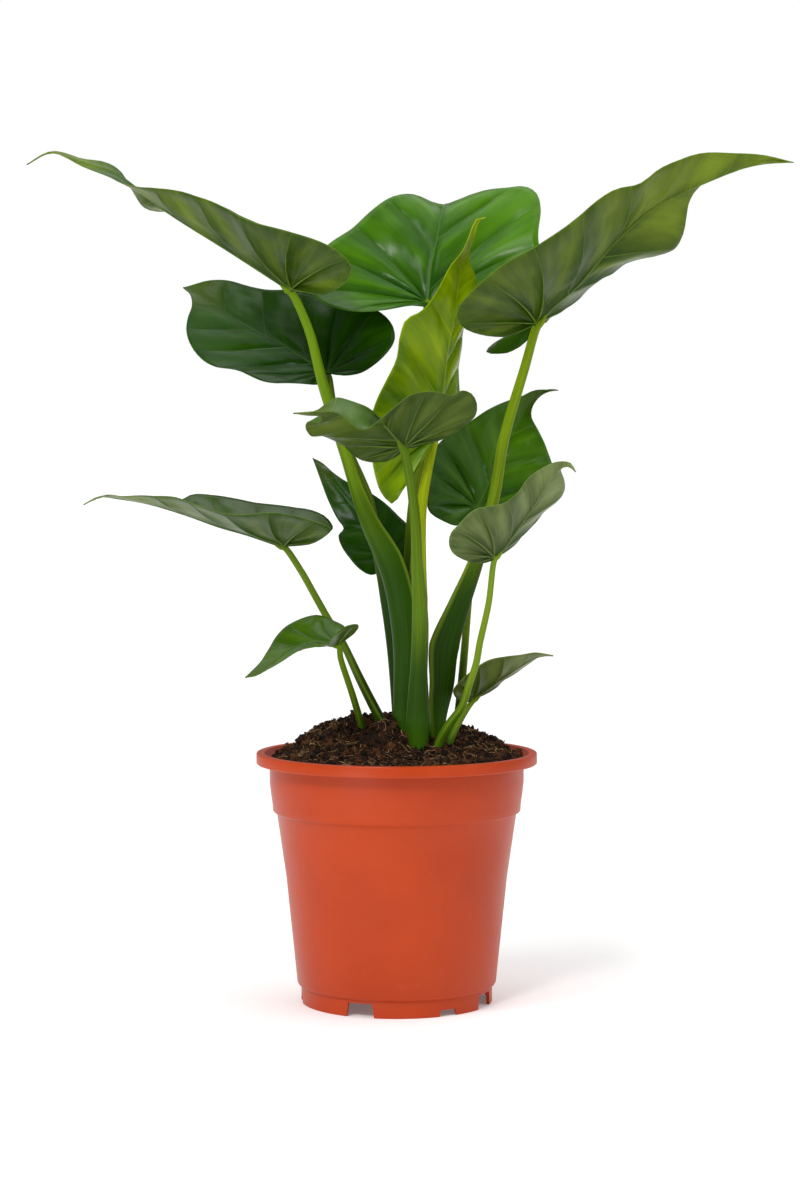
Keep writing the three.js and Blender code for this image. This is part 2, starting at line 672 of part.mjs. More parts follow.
const COLLAR_RADIUS = 77;
const STEP_HEIGHT = 116;
const STEP_RADIUS = 72.8;
const POT_OUTSIDE = [
  [FOOT_RADIUS, 0], [FOOT_RADIUS, 10], [60.4, 12], [67, 76], [STEP_RADIUS, STEP_HEIGHT - 0.5],
  [75.2, STEP_HEIGHT + 0.5], [75.2, 120.5], [COLLAR_RADIUS, 134],
  [COLLAR_RADIUS, POT_HEIGHT - LIP_HEIGHT], [RIM_RADIUS, POT_HEIGHT - LIP_HEIGHT],
  [RIM_RADIUS, POT_HEIGHT - 0.7], [RIM_RADIUS - 0.7, POT_HEIGHT],
];
const POT_INSIDE = [
  [RIM_RADIUS - LIP_WIDTH, POT_HEIGHT - 0.3], [RIM_RADIUS - LIP_WIDTH - 1, POT_HEIGHT - 3],
  [COLLAR_RADIUS - WALL, POT_HEIGHT - 7.2], [COLLAR_RADIUS - WALL, 134], [73.7, 120.5],
  [73.7, STEP_HEIGHT + 0.8], [STEP_RADIUS - WALL, STEP_HEIGHT - 1], [65.5, 76],
  [58.9, 12.5], [57, FLOOR_HEIGHT + WALL], [0, FLOOR_HEIGHT + WALL],
];
const NOTCHES = [
  { angles: [-22, 66, 158, 246], height: 8.5, width: 18 },
  { angles: [32, -84, 112, 202], height: 4, width: 13 },
];
const NOTCH_SLANT = 1.5;
const DRAIN_RADIUS = 4;
const DRAIN_CIRCLE = 42;

function atAngle(geometry, degrees) {
  return geometry.rotateZ(THREE.MathUtils.degToRad(degrees));
}

function notch(width, height, angle) {
  const half = width / 2;
  const shape = new THREE.Shape([
    new THREE.Vector2(-half, -1),
    new THREE.Vector2(half, -1),
    new THREE.Vector2(half - NOTCH_SLANT, height),
    new THREE.Vector2(-half + NOTCH_SLANT, height),
  ]);
  const wedge = new THREE.ExtrudeGeometry(shape, { depth: 12, bevelEnabled: false });
  wedge.rotateX(Math.PI / 2);
  wedge.translate(0, 6 - FOOT_RADIUS, 0);
  return toSolid(atAngle(wedge, angle));
}

function drain(angle) {
  const hole = new THREE.CylinderGeometry(DRAIN_RADIUS, DRAIN_RADIUS, 8, 10);
  hole.rotateX(Math.PI / 2);
  hole.translate(0, -DRAIN_CIRCLE, FLOOR_HEIGHT);
  return toSolid(atAngle(hole, angle));
}

function potSolid() {
  const profile = [
    [0, FLOOR_HEIGHT], [FOOT_RADIUS - FOOT_WIDTH, FLOOR_HEIGHT], [FOOT_RADIUS - FOOT_WIDTH, 0],
    ...POT_OUTSIDE, ...POT_INSIDE,
  ];
  const shell = new THREE.LatheGeometry(
    profile.map(([radius, height]) => new THREE.Vector2(radius, height)), POT_SEGMENTS,
  );
  shell.rotateX(Math.PI / 2);
  let pot = toSolid(shell);
  for (const { angles, height, width } of NOTCHES) {
    for (const angle of angles) {
      pot = pot.subtract(notch(width, height, angle)).subtract(drain(angle));
    }
  }
  return pot;
}

// Soil: heaped behind and beside the stalks and banked against them, with a crumbly top

const SOIL_HEAPS = [
  { x: -14, y: 24, height: 18, wide: 45, deep: 38 },
  { x: 45, y: 30, height: 8, wide: 30, deep: 40 },
  { x: -50, y: 25, height: 3, wide: 25, deep: 25 },
  { x: -7, y: -14, height: 11, wide: 14, deep: 11 },
];
const SOIL_SIDE = [
  [56.4, 10.9], [58.2, 12.8], [65.1, 76], [70.9, 115], [73.3, 118], [73.3, 121],
  [75.1, 134], [75.1, 144.3],
];
const SOIL_EDGE = { radius: 77, height: 147 };
const SOIL_TOP = 151.5;
const SOIL_RINGS = [0.92, 0.83, 0.74, 0.65, 0.56, 0.47, 0.38, 0.29, 0.2, 0.1];
const CRUMB_HEIGHT = 1.3;

function crumbs(ring, segment) {
  const hash = Math.sin(ring * 127.1 + segment * 311.7) * 43758.5453;
  return (hash - Math.floor(hash)) * 2 - 1;
}

function soilHeight(x, y) {
  const spread = Math.hypot(x, y) / SOIL_EDGE.radius;
  const level = SOIL_TOP - (SOIL_TOP - SOIL_EDGE.height) * spread ** 2;
  const edge = Math.min((1 - spread) / 0.25, 1);
  const heaps = SOIL_HEAPS.reduce((sum, heap) => {
    const reach = ((x - heap.x) / heap.wide) ** 2 + ((y - heap.y) / heap.deep) ** 2;
    return sum + heap.height * Math.exp(-reach);
  }, 0);
  return level + heaps * edge;
}

function soilSolid() {
  const rings = [...SOIL_SIDE, [SOIL_EDGE.radius, SOIL_EDGE.height]];
  const positions = [];
  const faces = [];
  const push = (radius, segment, height) => {
    const angle = (2 * Math.PI * segment) / SOIL_SEGMENTS;
    const [x, y] = [radius * Math.cos(angle), radius * Math.sin(angle)];
    positions.push([x, y, height ?? soilHeight(x, y)]);
  };
  rings.forEach(([radius, height]) => {
    for (let j = 0; j < SOIL_SEGMENTS; j += 1) {
      push(radius, j, height);
    }
  });
  SOIL_RINGS.forEach((share, i) => {
    for (let j = 0; j < SOIL_SEGMENTS; j += 1) {
      push(share * SOIL_EDGE.radius, j);
      positions[positions.length - 1][2] += CRUMB_HEIGHT * crumbs(i, j);
    }
  });
  const ringCount = rings.length + SOIL_RINGS.length;
  const at = (i, j) => i * SOIL_SEGMENTS + (j % SOIL_SEGMENTS);
  const bottom = positions.push([0, 0, SOIL_SIDE[0][1]]) - 1;
  const top = positions.push([0, 0, soilHeight(0, 0)]) - 1;
  for (let j = 0; j < SOIL_SEGMENTS; j += 1) {
    faces.push([bottom, at(0, j + 1), at(0, j)]);
    faces.push([top, at(ringCount - 1, j), at(ringCount - 1, j + 1)]);
    for (let i = 0; i + 1 < ringCount; i += 1) {
      faces.push([at(i, j), at(i, j + 1), at(i + 1, j + 1)]);
      faces.push([at(i, j), at(i + 1, j + 1), at(i + 1, j)]);
    }
  }
  return toSolid(meshGeometry(positions, faces));
}

function plantedSoil() {
  const planted = joined([
    mainShoot(SOIL_CLEARANCE),
    ...SIDE_STALKS.map((name) => stalkSolid(STALKS[name], SOIL_CLEARANCE)),
  ]);
  return largestPiece(soilSolid().subtract(planted).simplify(SLIVER));
}

// The whole plant in its pot

const plant = new THREE.Group();
plant.add(named('pot', toGeometry(potSolid()), TERRACOTTA));
plant.add(named('potting_soil', toGeometry(plantedSoil()), PEAT));
plant.add(named('main_shoot', toGeometry(trimmed(mainShoot(), MAIN_SHOOT)), PETIOLE_GREEN));
for (const name of SIDE_STALKS) {
  const stalk = trimmed(stalkSolid(STALKS[name]), [name]);
  plant.add(named(`stalk_${name}`, toGeometry(stalk), PETIOLE_GREEN));
}
for (const [name, blade] of Object.entries(BLADES)) {
  plant.add(named(name, toGeometry(bladeSolid(blade)), blade.tint ?? LEAF_GREEN));
}

export default plant;
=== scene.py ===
"""Potted chinese taro: the looks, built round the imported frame."""

import math

import bmesh
import bpy
import numpy as np
from mathutils import Matrix, Vector


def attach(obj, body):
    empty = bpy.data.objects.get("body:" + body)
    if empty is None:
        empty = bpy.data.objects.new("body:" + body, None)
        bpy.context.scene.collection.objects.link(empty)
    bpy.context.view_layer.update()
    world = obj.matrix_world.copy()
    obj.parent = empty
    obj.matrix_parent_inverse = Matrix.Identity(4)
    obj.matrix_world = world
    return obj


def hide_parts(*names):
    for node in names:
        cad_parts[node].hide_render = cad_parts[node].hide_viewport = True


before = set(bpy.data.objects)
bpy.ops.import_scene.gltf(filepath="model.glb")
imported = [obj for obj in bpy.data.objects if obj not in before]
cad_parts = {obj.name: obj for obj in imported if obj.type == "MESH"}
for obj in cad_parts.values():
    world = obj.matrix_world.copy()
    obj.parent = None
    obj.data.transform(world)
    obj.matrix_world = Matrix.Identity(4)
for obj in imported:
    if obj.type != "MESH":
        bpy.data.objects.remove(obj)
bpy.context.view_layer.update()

MM = 0.001

# Leaf blades, in millimetres: the midrib from the stalk to the tip, and each margin round
# its lobe, without the two ends that it shares with the midrib. wave is the height, count
# and phase of the ripple, puff the height of the surface between the side veins, veins
# their number on each half, and look the name of the greens.

BLADES = {
    "upper_left": dict(
        midrib=[(-63, -10, 430), (-100, 0, 454), (-133, 15, 475), (-150, 25, 487), (-163, 33, 498),
                (-175, 40, 506), (-193, 47, 512), (-215, 55, 519), (-230, 58, 512)],
        left=[(-56, -22, 427), (-43, -38, 425), (-31, -50, 430), (-26, -56, 439), (-34, -57, 448),
              (-60, -50, 460), (-86, -42, 468), (-106, -28, 478), (-128, -10, 488), (-145, 4, 492),
              (-157, 14, 493), (-167, 24, 496), (-178, 34, 502), (-193, 44, 509), (-215, 54, 519)],
        right=[(-57, -4, 428), (-45, 4, 428), (-36, 10, 433), (-34, 16, 445), (-50, 22, 456),
               (-71, 28, 467), (-93, 34, 477), (-110, 38, 484), (-127, 38, 486), (-142, 36, 481),
               (-154, 36, 483), (-163, 40, 494), (-171, 44, 506), (-180, 48, 512), (-194, 51, 515),
               (-214, 56, 520)],
        wave=(0.8, 4, 0.2), puff=1.7, veins=9, look="mid"),
    "middle_left": dict(
        midrib=[(-43, 42, 382), (-57, 50, 391), (-72, 61, 401), (-89, 72, 410), (-106, 84, 420),
                (-122, 95, 431), (-137, 104, 439)],
        left=[(-42, 36, 379), (-46, 30, 375), (-55, 24, 374), (-68, 22, 375), (-82, 26, 377),
              (-96, 33, 382), (-111, 42, 386), (-122, 51, 392), (-129, 60, 400), (-132, 68, 409),
              (-132, 77, 418), (-130, 86, 426), (-132, 96, 434)],
        right=[(-39, 38, 381), (-32, 32, 380), (-21, 28, 382), (-9, 26, 390), (-2, 28, 400),
               (-2, 33, 409), (-8, 42, 418), (-24, 54, 426), (-43, 66, 432), (-61, 76, 435),
               (-79, 84, 436), (-93, 91, 439), (-108, 98, 443), (-121, 103, 443), (-130, 105, 441)],
        wave=(1, 4, 0.6), puff=0.8, veins=8, look="deep"),
    "top_back": dict(
        midrib=[(19, 50, 426), (21, 57, 447), (25, 66, 466), (28, 79, 483), (31, 92, 491),
                (35, 102, 486), (37, 112, 473)],
        left=[(17, 42, 423), (8, 34, 423), (-8, 28, 420), (-24, 28, 419), (-40, 32, 422), (-51, 40, 429),
              (-56, 46, 440), (-53, 54, 452), (-42, 62, 463), (-29, 70, 473), (-17, 78, 485),
              (-4, 87, 494), (10, 95, 497), (21, 102, 494), (30, 108, 486)],
        right=[(21, 40, 423), (30, 30, 419), (45, 26, 415), (61, 28, 415), (76, 33, 423), (86, 40, 434),
               (89, 48, 451), (88, 56, 468), (90, 66, 485), (88, 74, 496), (81, 82, 501), (68, 88, 500),
               (54, 95, 499), (43, 101, 496), (39, 108, 487)],
        wave=(1.2, 4, 0.1), puff=1.2, veins=8, look="bright"),
    "young": dict(
        midrib=[(24, -6, 343), (28, -6, 369), (31, -8, 395), (35, -10, 414), (38, -12, 441),
                (44, -13, 456), (47, -14, 467), (49, -14, 471), (53, -15, 472)],
        left=[(20, -8, 335), (15, -12, 328), (10, -16, 319), (4, -18, 311), (-3, -20, 302),
              (-9, -22, 308), (-13, -24, 319), (-15, -25, 333), (-16, -25, 349), (-13, -25, 362),
              (-7, -25, 374), (0, -26, 388), (2, -27, 401), (5, -26, 411), (15, -24, 417),
              (23, -22, 427), (32, -20, 443), (39, -18, 452), (44, -16, 464), (47, -15, 471)],
        right=[(27, 0, 343), (31, 7, 346), (35, 14, 352), (38, 18, 361), (38, 20, 370), (38, 19, 380),
               (38, 16, 391), (40, 10, 406), (44, 4, 420), (48, -2, 432), (47, -6, 439), (44, -9, 446),
               (44, -11, 453), (47, -13, 463), (49, -14, 470)],
        wave=(0.6, 4, 0.4), puff=1.8, veins=8, look="lime"),
    "upper_right": dict(
        midrib=[(83, -20, 409), (91, -22, 418), (107, -27, 432), (127, -35, 455), (151, -45, 476),
                (172, -51, 486), (198, -57, 496), (217, -61, 501), (229, -64, 499)],
        left=[(81, -12, 403), (73, -4, 395), (64, 6, 392), (55, 14, 393), (61, 26, 401), (76, 34, 409),
              (91, 36, 416), (101, 31, 421), (111, 24, 426), (117, 17, 433), (125, 8, 439),
              (136, -4, 446), (146, -12, 448), (156, -18, 449), (165, -24, 453), (169, -30, 461),
              (170, -36, 470), (171, -42, 479), (176, -48, 487), (189, -54, 493), (209, -60, 498)],
        right=[(76, -30, 405), (65, -42, 400), (50, -54, 400), (38, -62, 405), (34, -66, 413),
               (39, -69, 421), (58, -72, 437), (78, -74, 449), (97, -75, 462), (114, -75, 475),
               (126, -74, 482), (140, -72, 486), (151, -70, 495), (161, -68, 500), (175, -66, 504),
               (193, -65, 504), (213, -64, 503)],
        wave=(0.8, 4, 0.7), puff=1.5, veins=9, look="mid"),
    "front": dict(
        midrib=[(4, -62, 335), (-1, -68, 342), (-8, -76, 350), (-15, -84, 357), (-25, -90, 361),
                (-34, -95, 363), (-39, -99, 360), (-46, -103, 355), (-58, -108, 354)],
        left=[(8, -60, 335), (18, -57, 337), (29, -55, 341), (40, -54, 348), (46, -55, 354),
              (47, -57, 360), (44, -60, 366), (38, -64, 368), (32, -68, 365), (25, -72, 367),
              (16, -76, 367), (7, -82, 364), (-2, -91, 357), (-10, -99, 350), (-17, -104, 345),
              (-22, -106, 345), (-27, -107, 349), (-33, -108, 354), (-44, -109, 355)],
        right=[(3, -60, 333), (0, -56, 330), (-7, -52, 327), (-17, -50, 327), (-25, -50, 330),
               (-31, -52, 336), (-38, -56, 340), (-44, -62, 342), (-49, -67, 341), (-52, -71, 345),
               (-52, -75, 349), (-49, -80, 350), (-44, -86, 349), (-43, -92, 352), (-50, -101, 353)],
        wave=(0.4, 4, 0), puff=1.1, veins=8, look="front"),
    "right_back": dict(
        midrib=[(50, 44, 299), (56, 50, 311), (63, 60, 327), (72, 70, 344), (82, 80, 361), (90, 86, 370),
                (96, 90, 373), (103, 92, 373)],
        left=[(48, 38, 295), (44, 32, 291), (37, 28, 288), (28, 26, 291), (20, 26, 296), (18, 28, 305),
              (20, 34, 322), (23, 42, 335), (35, 54, 346), (45, 60, 352), (57, 68, 360), (70, 76, 366),
              (79, 80, 369), (88, 85, 373)],
        right=[(53, 40, 294), (58, 36, 288), (67, 34, 284), (79, 36, 286), (90, 42, 295), (97, 50, 309),
               (98, 56, 321), (94, 64, 336), (89, 70, 347), (85, 76, 356), (86, 80, 363), (91, 85, 369),
               (97, 89, 372)],
        wave=(0.8, 4, 0.3), puff=1.5, veins=8, look="back"),
    "right_front": dict(
        midrib=[(57, -54, 271), (63, -56, 278), (69, -59, 287), (80, -65, 303), (88, -70, 316),
                (94, -73, 323), (98, -75, 326), (103, -78, 321)],
        left=[(56, -48, 269), (49, -42, 269), (42, -34, 274), (44, -26, 281), (52, -20, 282),
              (62, -20, 278), (70, -23, 281), (79, -30, 289), (87, -38, 298), (95, -46, 304),
              (98, -54, 311), (97, -62, 317), (95, -70, 323), (99, -74, 324)],
        right=[(54, -58, 269), (48, -64, 268), (39, -72, 270), (32, -78, 275), (30, -80, 280),
               (31, -82, 286), (36, -84, 291), (44, -85, 299), (49, -85, 301), (56, -84, 302),
               (63, -83, 304), (70, -81, 309), (75, -79, 317), (81, -78, 322), (89, -77, 326),
               (96, -76, 327), (100, -77, 326)],
        wave=(0.5, 4, 0.5), puff=0.8, veins=8, look="pale"),
    "low_left": dict(
        midrib=[(-67, -18, 277), (-89, -10, 284), (-108, -2, 289), (-126, 6, 295), (-151, 14, 302),
                (-170, 19, 305), (-182, 22, 306), (-192, 24, 301)],
        left=[(-59, -28, 277), (-51, -36, 278), (-42, -44, 283), (-38, -50, 288), (-46, -53, 292),
              (-58, -54, 295), (-74, -53, 297), (-91, -48, 296), (-106, -40, 298), (-119, -30, 301),
              (-133, -18, 306), (-149, -6, 307), (-166, 6, 306), (-178, 16, 307)],
        right=[(-60, -6, 278), (-53, 6, 279), (-44, 16, 283), (-39, 24, 287), (-43, 28, 293),
               (-52, 30, 297), (-64, 32, 299), (-83, 34, 302), (-104, 34, 305), (-119, 33, 307),
               (-126, 31, 307), (-133, 28, 304), (-148, 26, 304), (-165, 24, 305), (-179, 23, 306)],
        wave=(0.5, 4, 0.8), puff=1.2, veins=8, look="low"),
    "small_left": dict(
        midrib=[(-34, -48, 220), (-45, -56, 222), (-56, -64, 221), (-65, -71, 216), (-75, -77, 209),
                (-82, -80, 205), (-87, -82, 203)],
        left=[(-30, -54, 223), (-25, -60, 227), (-22, -66, 231), (-23, -72, 233), (-29, -78, 232),
              (-35, -82, 228), (-40, -85, 223), (-47, -86, 221), (-55, -86, 219), (-65, -85, 213),
              (-74, -84, 208), (-81, -83, 204)],
        right=[(-32, -40, 221), (-29, -30, 225), (-31, -22, 229), (-38, -16, 232), (-47, -14, 235),
               (-55, -18, 234), (-65, -26, 230), (-71, -36, 224), (-75, -50, 217), (-80, -66, 210)],
        wave=(0.3, 3, 0.2), puff=0.6, veins=6, look="fresh"),
    "small_right": dict(
        midrib=[(46, 2, 183), (53, 0, 189), (62, -4, 196), (72, -8, 203), (81, -11, 209), (89, -13, 211),
                (94, -15, 211)],
        left=[(42, 7, 185), (40, 12, 188), (44, 17, 191), (50, 19, 189), (57, 18, 188), (64, 14, 193),
              (71, 9, 198), (80, 2, 205), (87, -8, 210)],
        right=[(43, -3, 182), (39, -8, 183), (35, -13, 186), (34, -16, 190), (37, -18, 195),
               (46, -20, 203), (54, -22, 208), (64, -23, 211), (74, -22, 212), (83, -19, 213),
               (90, -17, 212)],
        wave=(0.3, 3, 0.6), puff=0.8, veins=6, look="olive"),
    "behind": dict(
        midrib=[(-5, 32, 269), (-10, 35, 276), (-18, 40, 288), (-29, 47, 302), (-40, 54, 315),
                (-47, 59, 323), (-53, 62, 330)],
        left=[(-6, 28, 265), (-10, 25, 260), (-16, 24, 258), (-22, 24, 261), (-29, 27, 268),
              (-34, 32, 275), (-36, 37, 282), (-33, 42, 286), (-37, 45, 292), (-43, 50, 304),
              (-48, 56, 317), (-51, 60, 325)],
        right=[(-2, 28, 265), (3, 26, 264), (6, 26, 269), (7, 28, 278), (7, 33, 288), (2, 36, 293),
               (-4, 39, 299), (-10, 42, 304), (-18, 46, 309), (-25, 49, 312), (-33, 53, 316),
               (-40, 57, 321), (-47, 60, 327)],
        wave=(0.4, 3, 0.1), puff=0.6, veins=7, look="deep"),
}

# Leaf stalks, in millimetres, from the soil up to the blade. open is the side on which the
# sheath opens. A section is its place along the stalk, half width, depth of the closed side,
# thickness of the sheath's floor and height of its edges, or its place and radius if round.

STALKS = {
    "upper_left": dict(
        path=[(2, -6, 146), (3, -7, 184), (3, -8, 218), (-2, -9, 252), (-8, -10, 270), (-15, -10, 286),
              (-21, -10, 302), (-30, -10, 331), (-33, -10, 340), (-44, -9, 373), (-53, -8, 407),
              (-63, -8, 430)],
        open=(0.8, 0.6, 0),
        sections=[(0, 6, 5, 5, 3), (0.12, 8, 5, 5, 4), (0.3, 11, 5, 4, 6), (0.42, 10, 5, 4, 6),
                  (0.5, 7, 5, 5, 3), (0.6, 4.5, 4, 7, 0), (0.8, 3.2), (1, 2.4)]),
    "middle_left": dict(
        path=[(3, 6, 146), (-2, 8, 213), (-7, 10, 249), (-13, 13, 280), (-16, 15, 302), (-21, 18, 315),
              (-29, 23, 333), (-39, 34, 362), (-43, 43, 382)],
        open=(0.8, 0.4, 0),
        sections=[(0, 5, 4, 5, 2), (0.4, 4, 4, 6, 0), (0.6, 2.8), (1, 2.2)]),
    "top_back": dict(
        path=[(12, 4, 146), (10, 7, 219), (9, 9, 268), (11, 14, 304), (15, 25, 334), (17, 35, 365),
              (18, 45, 403), (19, 50, 426)],
        open=(0, -1, 0),
        sections=[(0, 6, 4, 5, 2), (0.4, 5, 4, 6, 0), (0.6, 3.4), (1, 2.4)]),
    "young": dict(
        path=[(13, -4, 146), (13, -4, 220), (13, -4, 267), (15, -4, 301), (20, -3, 329), (24, -5, 343)],
        open=(-0.3, -1, 0),
        sections=[(0, 6, 4, 5, 2), (0.5, 6, 4, 6, 0), (0.75, 3.5), (1, 2.6)]),
    "upper_right": dict(
        path=[(23, 0, 146), (24, 0, 174), (27, 0, 193), (29, -1, 216), (38, -4, 242), (47, -7, 267),
              (58, -11, 304), (64, -14, 340), (76, -17, 382), (83, -19, 409)],
        open=(-1, 0.1, 0),
        sections=[(0, 5, 5, 9, 1), (0.08, 6, 6, 9, 2), (0.15, 6.5, 7.5, 7, 6), (0.26, 7, 9, 6, 9),
                  (0.35, 6, 6.7, 6, 6.7), (0.45, 5, 5.4, 7, 4), (0.58, 3.6), (1, 2.6)]),
    "front": dict(
        path=[(13, -22, 143), (13, -23, 170), (13, -25, 194), (14, -31, 232), (12, -40, 268),
              (11, -47, 292), (8, -55, 316), (4, -62, 335)],
        open=(0, 1, 0),
        sections=[(0, 3), (0.14, 7.5, 5, 5, 2), (0.3, 5.2, 4.5, 6, 1), (0.45, 5, 4, 6.5, 1),
                  (0.65, 3.4, 3.2, 6.4, 0), (1, 2.4)]),
    "low_left": dict(
        path=[(4, 4, 146), (-7, 4, 167), (-14, 2, 180), (-23, -2, 198), (-32, -6, 217), (-42, -9, 234),
              (-48, -12, 245), (-58, -15, 263), (-67, -18, 277)],
        open=(1, 0, 0),
        sections=[(0, 6, 4, 6, 1), (0.14, 6, 4, 6, 1), (0.24, 4.5, 3.5, 6, 0.5), (0.36, 3.2, 3, 5.5, 0),
                  (0.5, 2.3), (1, 1.9)]),
    "behind": dict(
        path=[(3, 12, 146), (2, 15, 182), (0, 19, 212), (-2, 25, 242), (-5, 32, 269)],
        open=(0, -1, 0),
        sections=[(0, 4, 3, 5, 0), (0.4, 2.5, 2.2, 4.4, 0), (1, 1.8)]),
    "right_back": dict(
        path=[(35, 20, 140), (36, 23, 152), (40, 34, 189), (42, 38, 211), (44, 41, 235), (47, 44, 266),
              (50, 45, 299)],
        open=(0, -1, 0),
        sections=[(0, 3), (1, 1.7)]),
    "right_front": dict(
        path=[(23, -17, 142), (25, -17, 158), (31, -22, 170), (39, -28, 182), (43, -34, 195),
              (47, -38, 208), (49, -42, 220), (54, -48, 244), (57, -54, 271)],
        open=(-1, 0.4, 0),
        sections=[(0, 3.2, 3, 5.5, 0), (0.2, 3.2, 3, 5.5, 0), (0.35, 2.2), (1, 1.7)]),
    "small_left": dict(
        path=[(-17, 1, 148), (-20, 3, 162), (-26, -16, 186), (-33, -40, 211), (-34, -48, 220)],
        open=(1, 0, 0),
        sections=[(0, 2.4), (1, 1.7)]),
    "small_right": dict(
        path=[(28, -12, 140), (32, -8, 158), (39, -3, 172), (46, 1, 183)],
        open=(1, 0, 0),
        sections=[(0, 2.8), (0.3, 2.4), (1, 1.6)]),
}

MAIN_SHOOT = (
    "upper_left", "middle_left", "top_back", "young", "upper_right", "front", "low_left",
    "behind")


# Curves

class Rail:
    """A smooth line through points, read by its length from 0 to 1."""

    STEPS = 24
    AIM = 2

    def __init__(self, points):
        knots = np.array(points, float)
        knots = np.vstack([2 * knots[0] - knots[1], knots, 2 * knots[-1] - knots[-2]])
        pieces = [self._piece(knots[i:i + 4]) for i in range(len(knots) - 3)]
        self.line = np.vstack(pieces + [knots[-2][None]])
        steps = np.linalg.norm(np.diff(self.line, axis=0), axis=1)
        self.length = steps.sum()
        self.share = np.concatenate([[0], np.cumsum(steps)]) / self.length

    def _piece(self, p):
        """Points from the second of four knots to the third."""
        gaps = np.linalg.norm(np.diff(p, axis=0), axis=1) ** 0.5
        t = np.concatenate([[0], np.cumsum(gaps)])
        x = np.linspace(t[1], t[2], self.STEPS, endpoint=False)[:, None]

        def between(a, b, low, high):
            return (t[high] - x) / (t[high] - t[low]) * a + (x - t[low]) / (t[high] - t[low]) * b

        first = [between(p[i], p[i + 1], i, i + 1) for i in range(3)]
        second = [between(first[i], first[i + 1], i, i + 2) for i in range(2)]
        return between(second[0], second[1], 1, 2)

    def at(self, share):
        columns = [np.interp(share, self.share, self.line[:, k]) for k in range(3)]
        return np.stack(columns, -1)

    def along(self, share):
        """The direction of the line, from places AIM millimetres behind and ahead."""
        reach = self.AIM / self.length
        middle = np.clip(share, reach, 1 - reach)
        return unit(self.at(middle + reach) - self.at(middle - reach))


def unit(vectors):
    return vectors / np.maximum(np.linalg.norm(vectors, axis=-1, keepdims=True), 1e-9)


def smoothstep(low, high, value):
    share = np.clip((value - low) / (high - low), 0, 1)
    return share * share * (3 - 2 * share)


EVENING = 5


def evened(values):
    """Values smoothed by the mean of EVENING neighbours."""
    padded = np.pad(values, EVENING // 2, mode="edge")
    return np.convolve(padded, np.ones(EVENING) / EVENING, mode="valid")


LATTICE = 64
LATTICE_SHIFT = (31.7, 17.3)


def lattice_noise(x, y, scale, seed):
    """Smooth value noise between -1 and 1."""
    table = np.random.default_rng(seed).uniform(-1, 1, (LATTICE, LATTICE))
    x, y = x / scale + LATTICE_SHIFT[0], y / scale + LATTICE_SHIFT[1]
    i, j = np.floor(x).astype(int), np.floor(y).astype(int)
    s, t = smoothstep(0, 1, x - i), smoothstep(0, 1, y - j)

    def across(step):
        row = (j + step) % LATTICE
        return table[i % LATTICE, row] * (1 - s) + table[(i + 1) % LATTICE, row] * s

    return across(0) * (1 - t) + across(1) * t


# Meshes

def add_object(name, data):
    added = bpy.data.objects.new(name, data)
    bpy.context.scene.collection.objects.link(added)
    return added


def new_object(name, points, faces, material, smooth=True):
    """A mesh object in metres from points in millimetres."""
    mesh = bpy.data.meshes.new(name)
    mesh.from_pydata((np.asarray(points) * MM).tolist(), [], [list(map(int, f)) for f in faces])
    mesh.validate()
    if smooth:
        mesh.shade_smooth()
    mesh.materials.append(material)
    return add_object(name, mesh)


def add_facts(piece, **facts):
    """One number for each point under each name, for the materials to read."""
    for name, values in facts.items():
        layer = piece.data.attributes.new(name, "FLOAT", "POINT")
        layer.data.foreach_set("value", np.asarray(values, np.float32))


def dress(piece, slot, *nodes):
    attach(piece, "root")
    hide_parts(*nodes)


def point_normals(points, quads):
    a, b, c, d = (points[quads[:, k]] for k in range(4))
    face = np.cross(c - a, d - b)
    total = np.zeros_like(points)
    for k in range(4):
        np.add.at(total, quads[:, k], face)
    return unit(total)


def open_edges(quads):
    """The directed edges that only one face has."""
    edges = np.concatenate([quads[:, [k, (k + 1) % 4]] for k in range(4)])
    edges = edges[edges[:, 0] != edges[:, 1]]
    known = {(a, b) for a, b in edges.tolist()}
    return [(a, b) for a, b in known if (b, a) not in known]


def clean_faces(quads):
    """Quads as lists, with doubled corners dropped."""
    faces = []
    for quad in quads.tolist():
        face = [v for k, v in enumerate(quad) if v != quad[k - 1]]
        if len(face) > 2:
            faces.append(face)
    return faces


def ring_points(radius, height, angle):
    """Points round the axis, in a row for each radius and height."""
    places = (radius * np.cos(angle), radius * np.sin(angle), height)
    return np.stack(np.broadcast_arrays(*places), -1)


def ring_faces(index):
    """Quads between rows of points, where each row is a ring."""
    following = np.roll(index, -1, axis=1)
    quads = np.stack([index[:-1], following[:-1], following[1:], index[1:]], -1)
    return quads.reshape(-1, 4).tolist()


def tube_faces(rings, sides):
    """Faces of a tube of rings, closed at both ends by the two points that follow them."""
    index = np.arange(rings * sides).reshape(rings, sides)
    ends = zip(index[0], np.roll(index[0], -1), index[-1], np.roll(index[-1], -1))
    first, last = rings * sides, rings * sides + 1
    caps = [([first, b, a], [last, c, d]) for a, b, c, d in ends]
    return ring_faces(index) + [cap[0] for cap in caps] + [cap[1] for cap in caps]


# Leaf blades. A rise or a fall is where a form starts to grow or fade, and where it ends.
# The facts of a point are its shares of the margin and of the width, the millimetres per
# share of the margin, the distance from the midrib, the share of the midrib where its row
# starts, the distance from the joint in midribs, and its nearness to a crest.

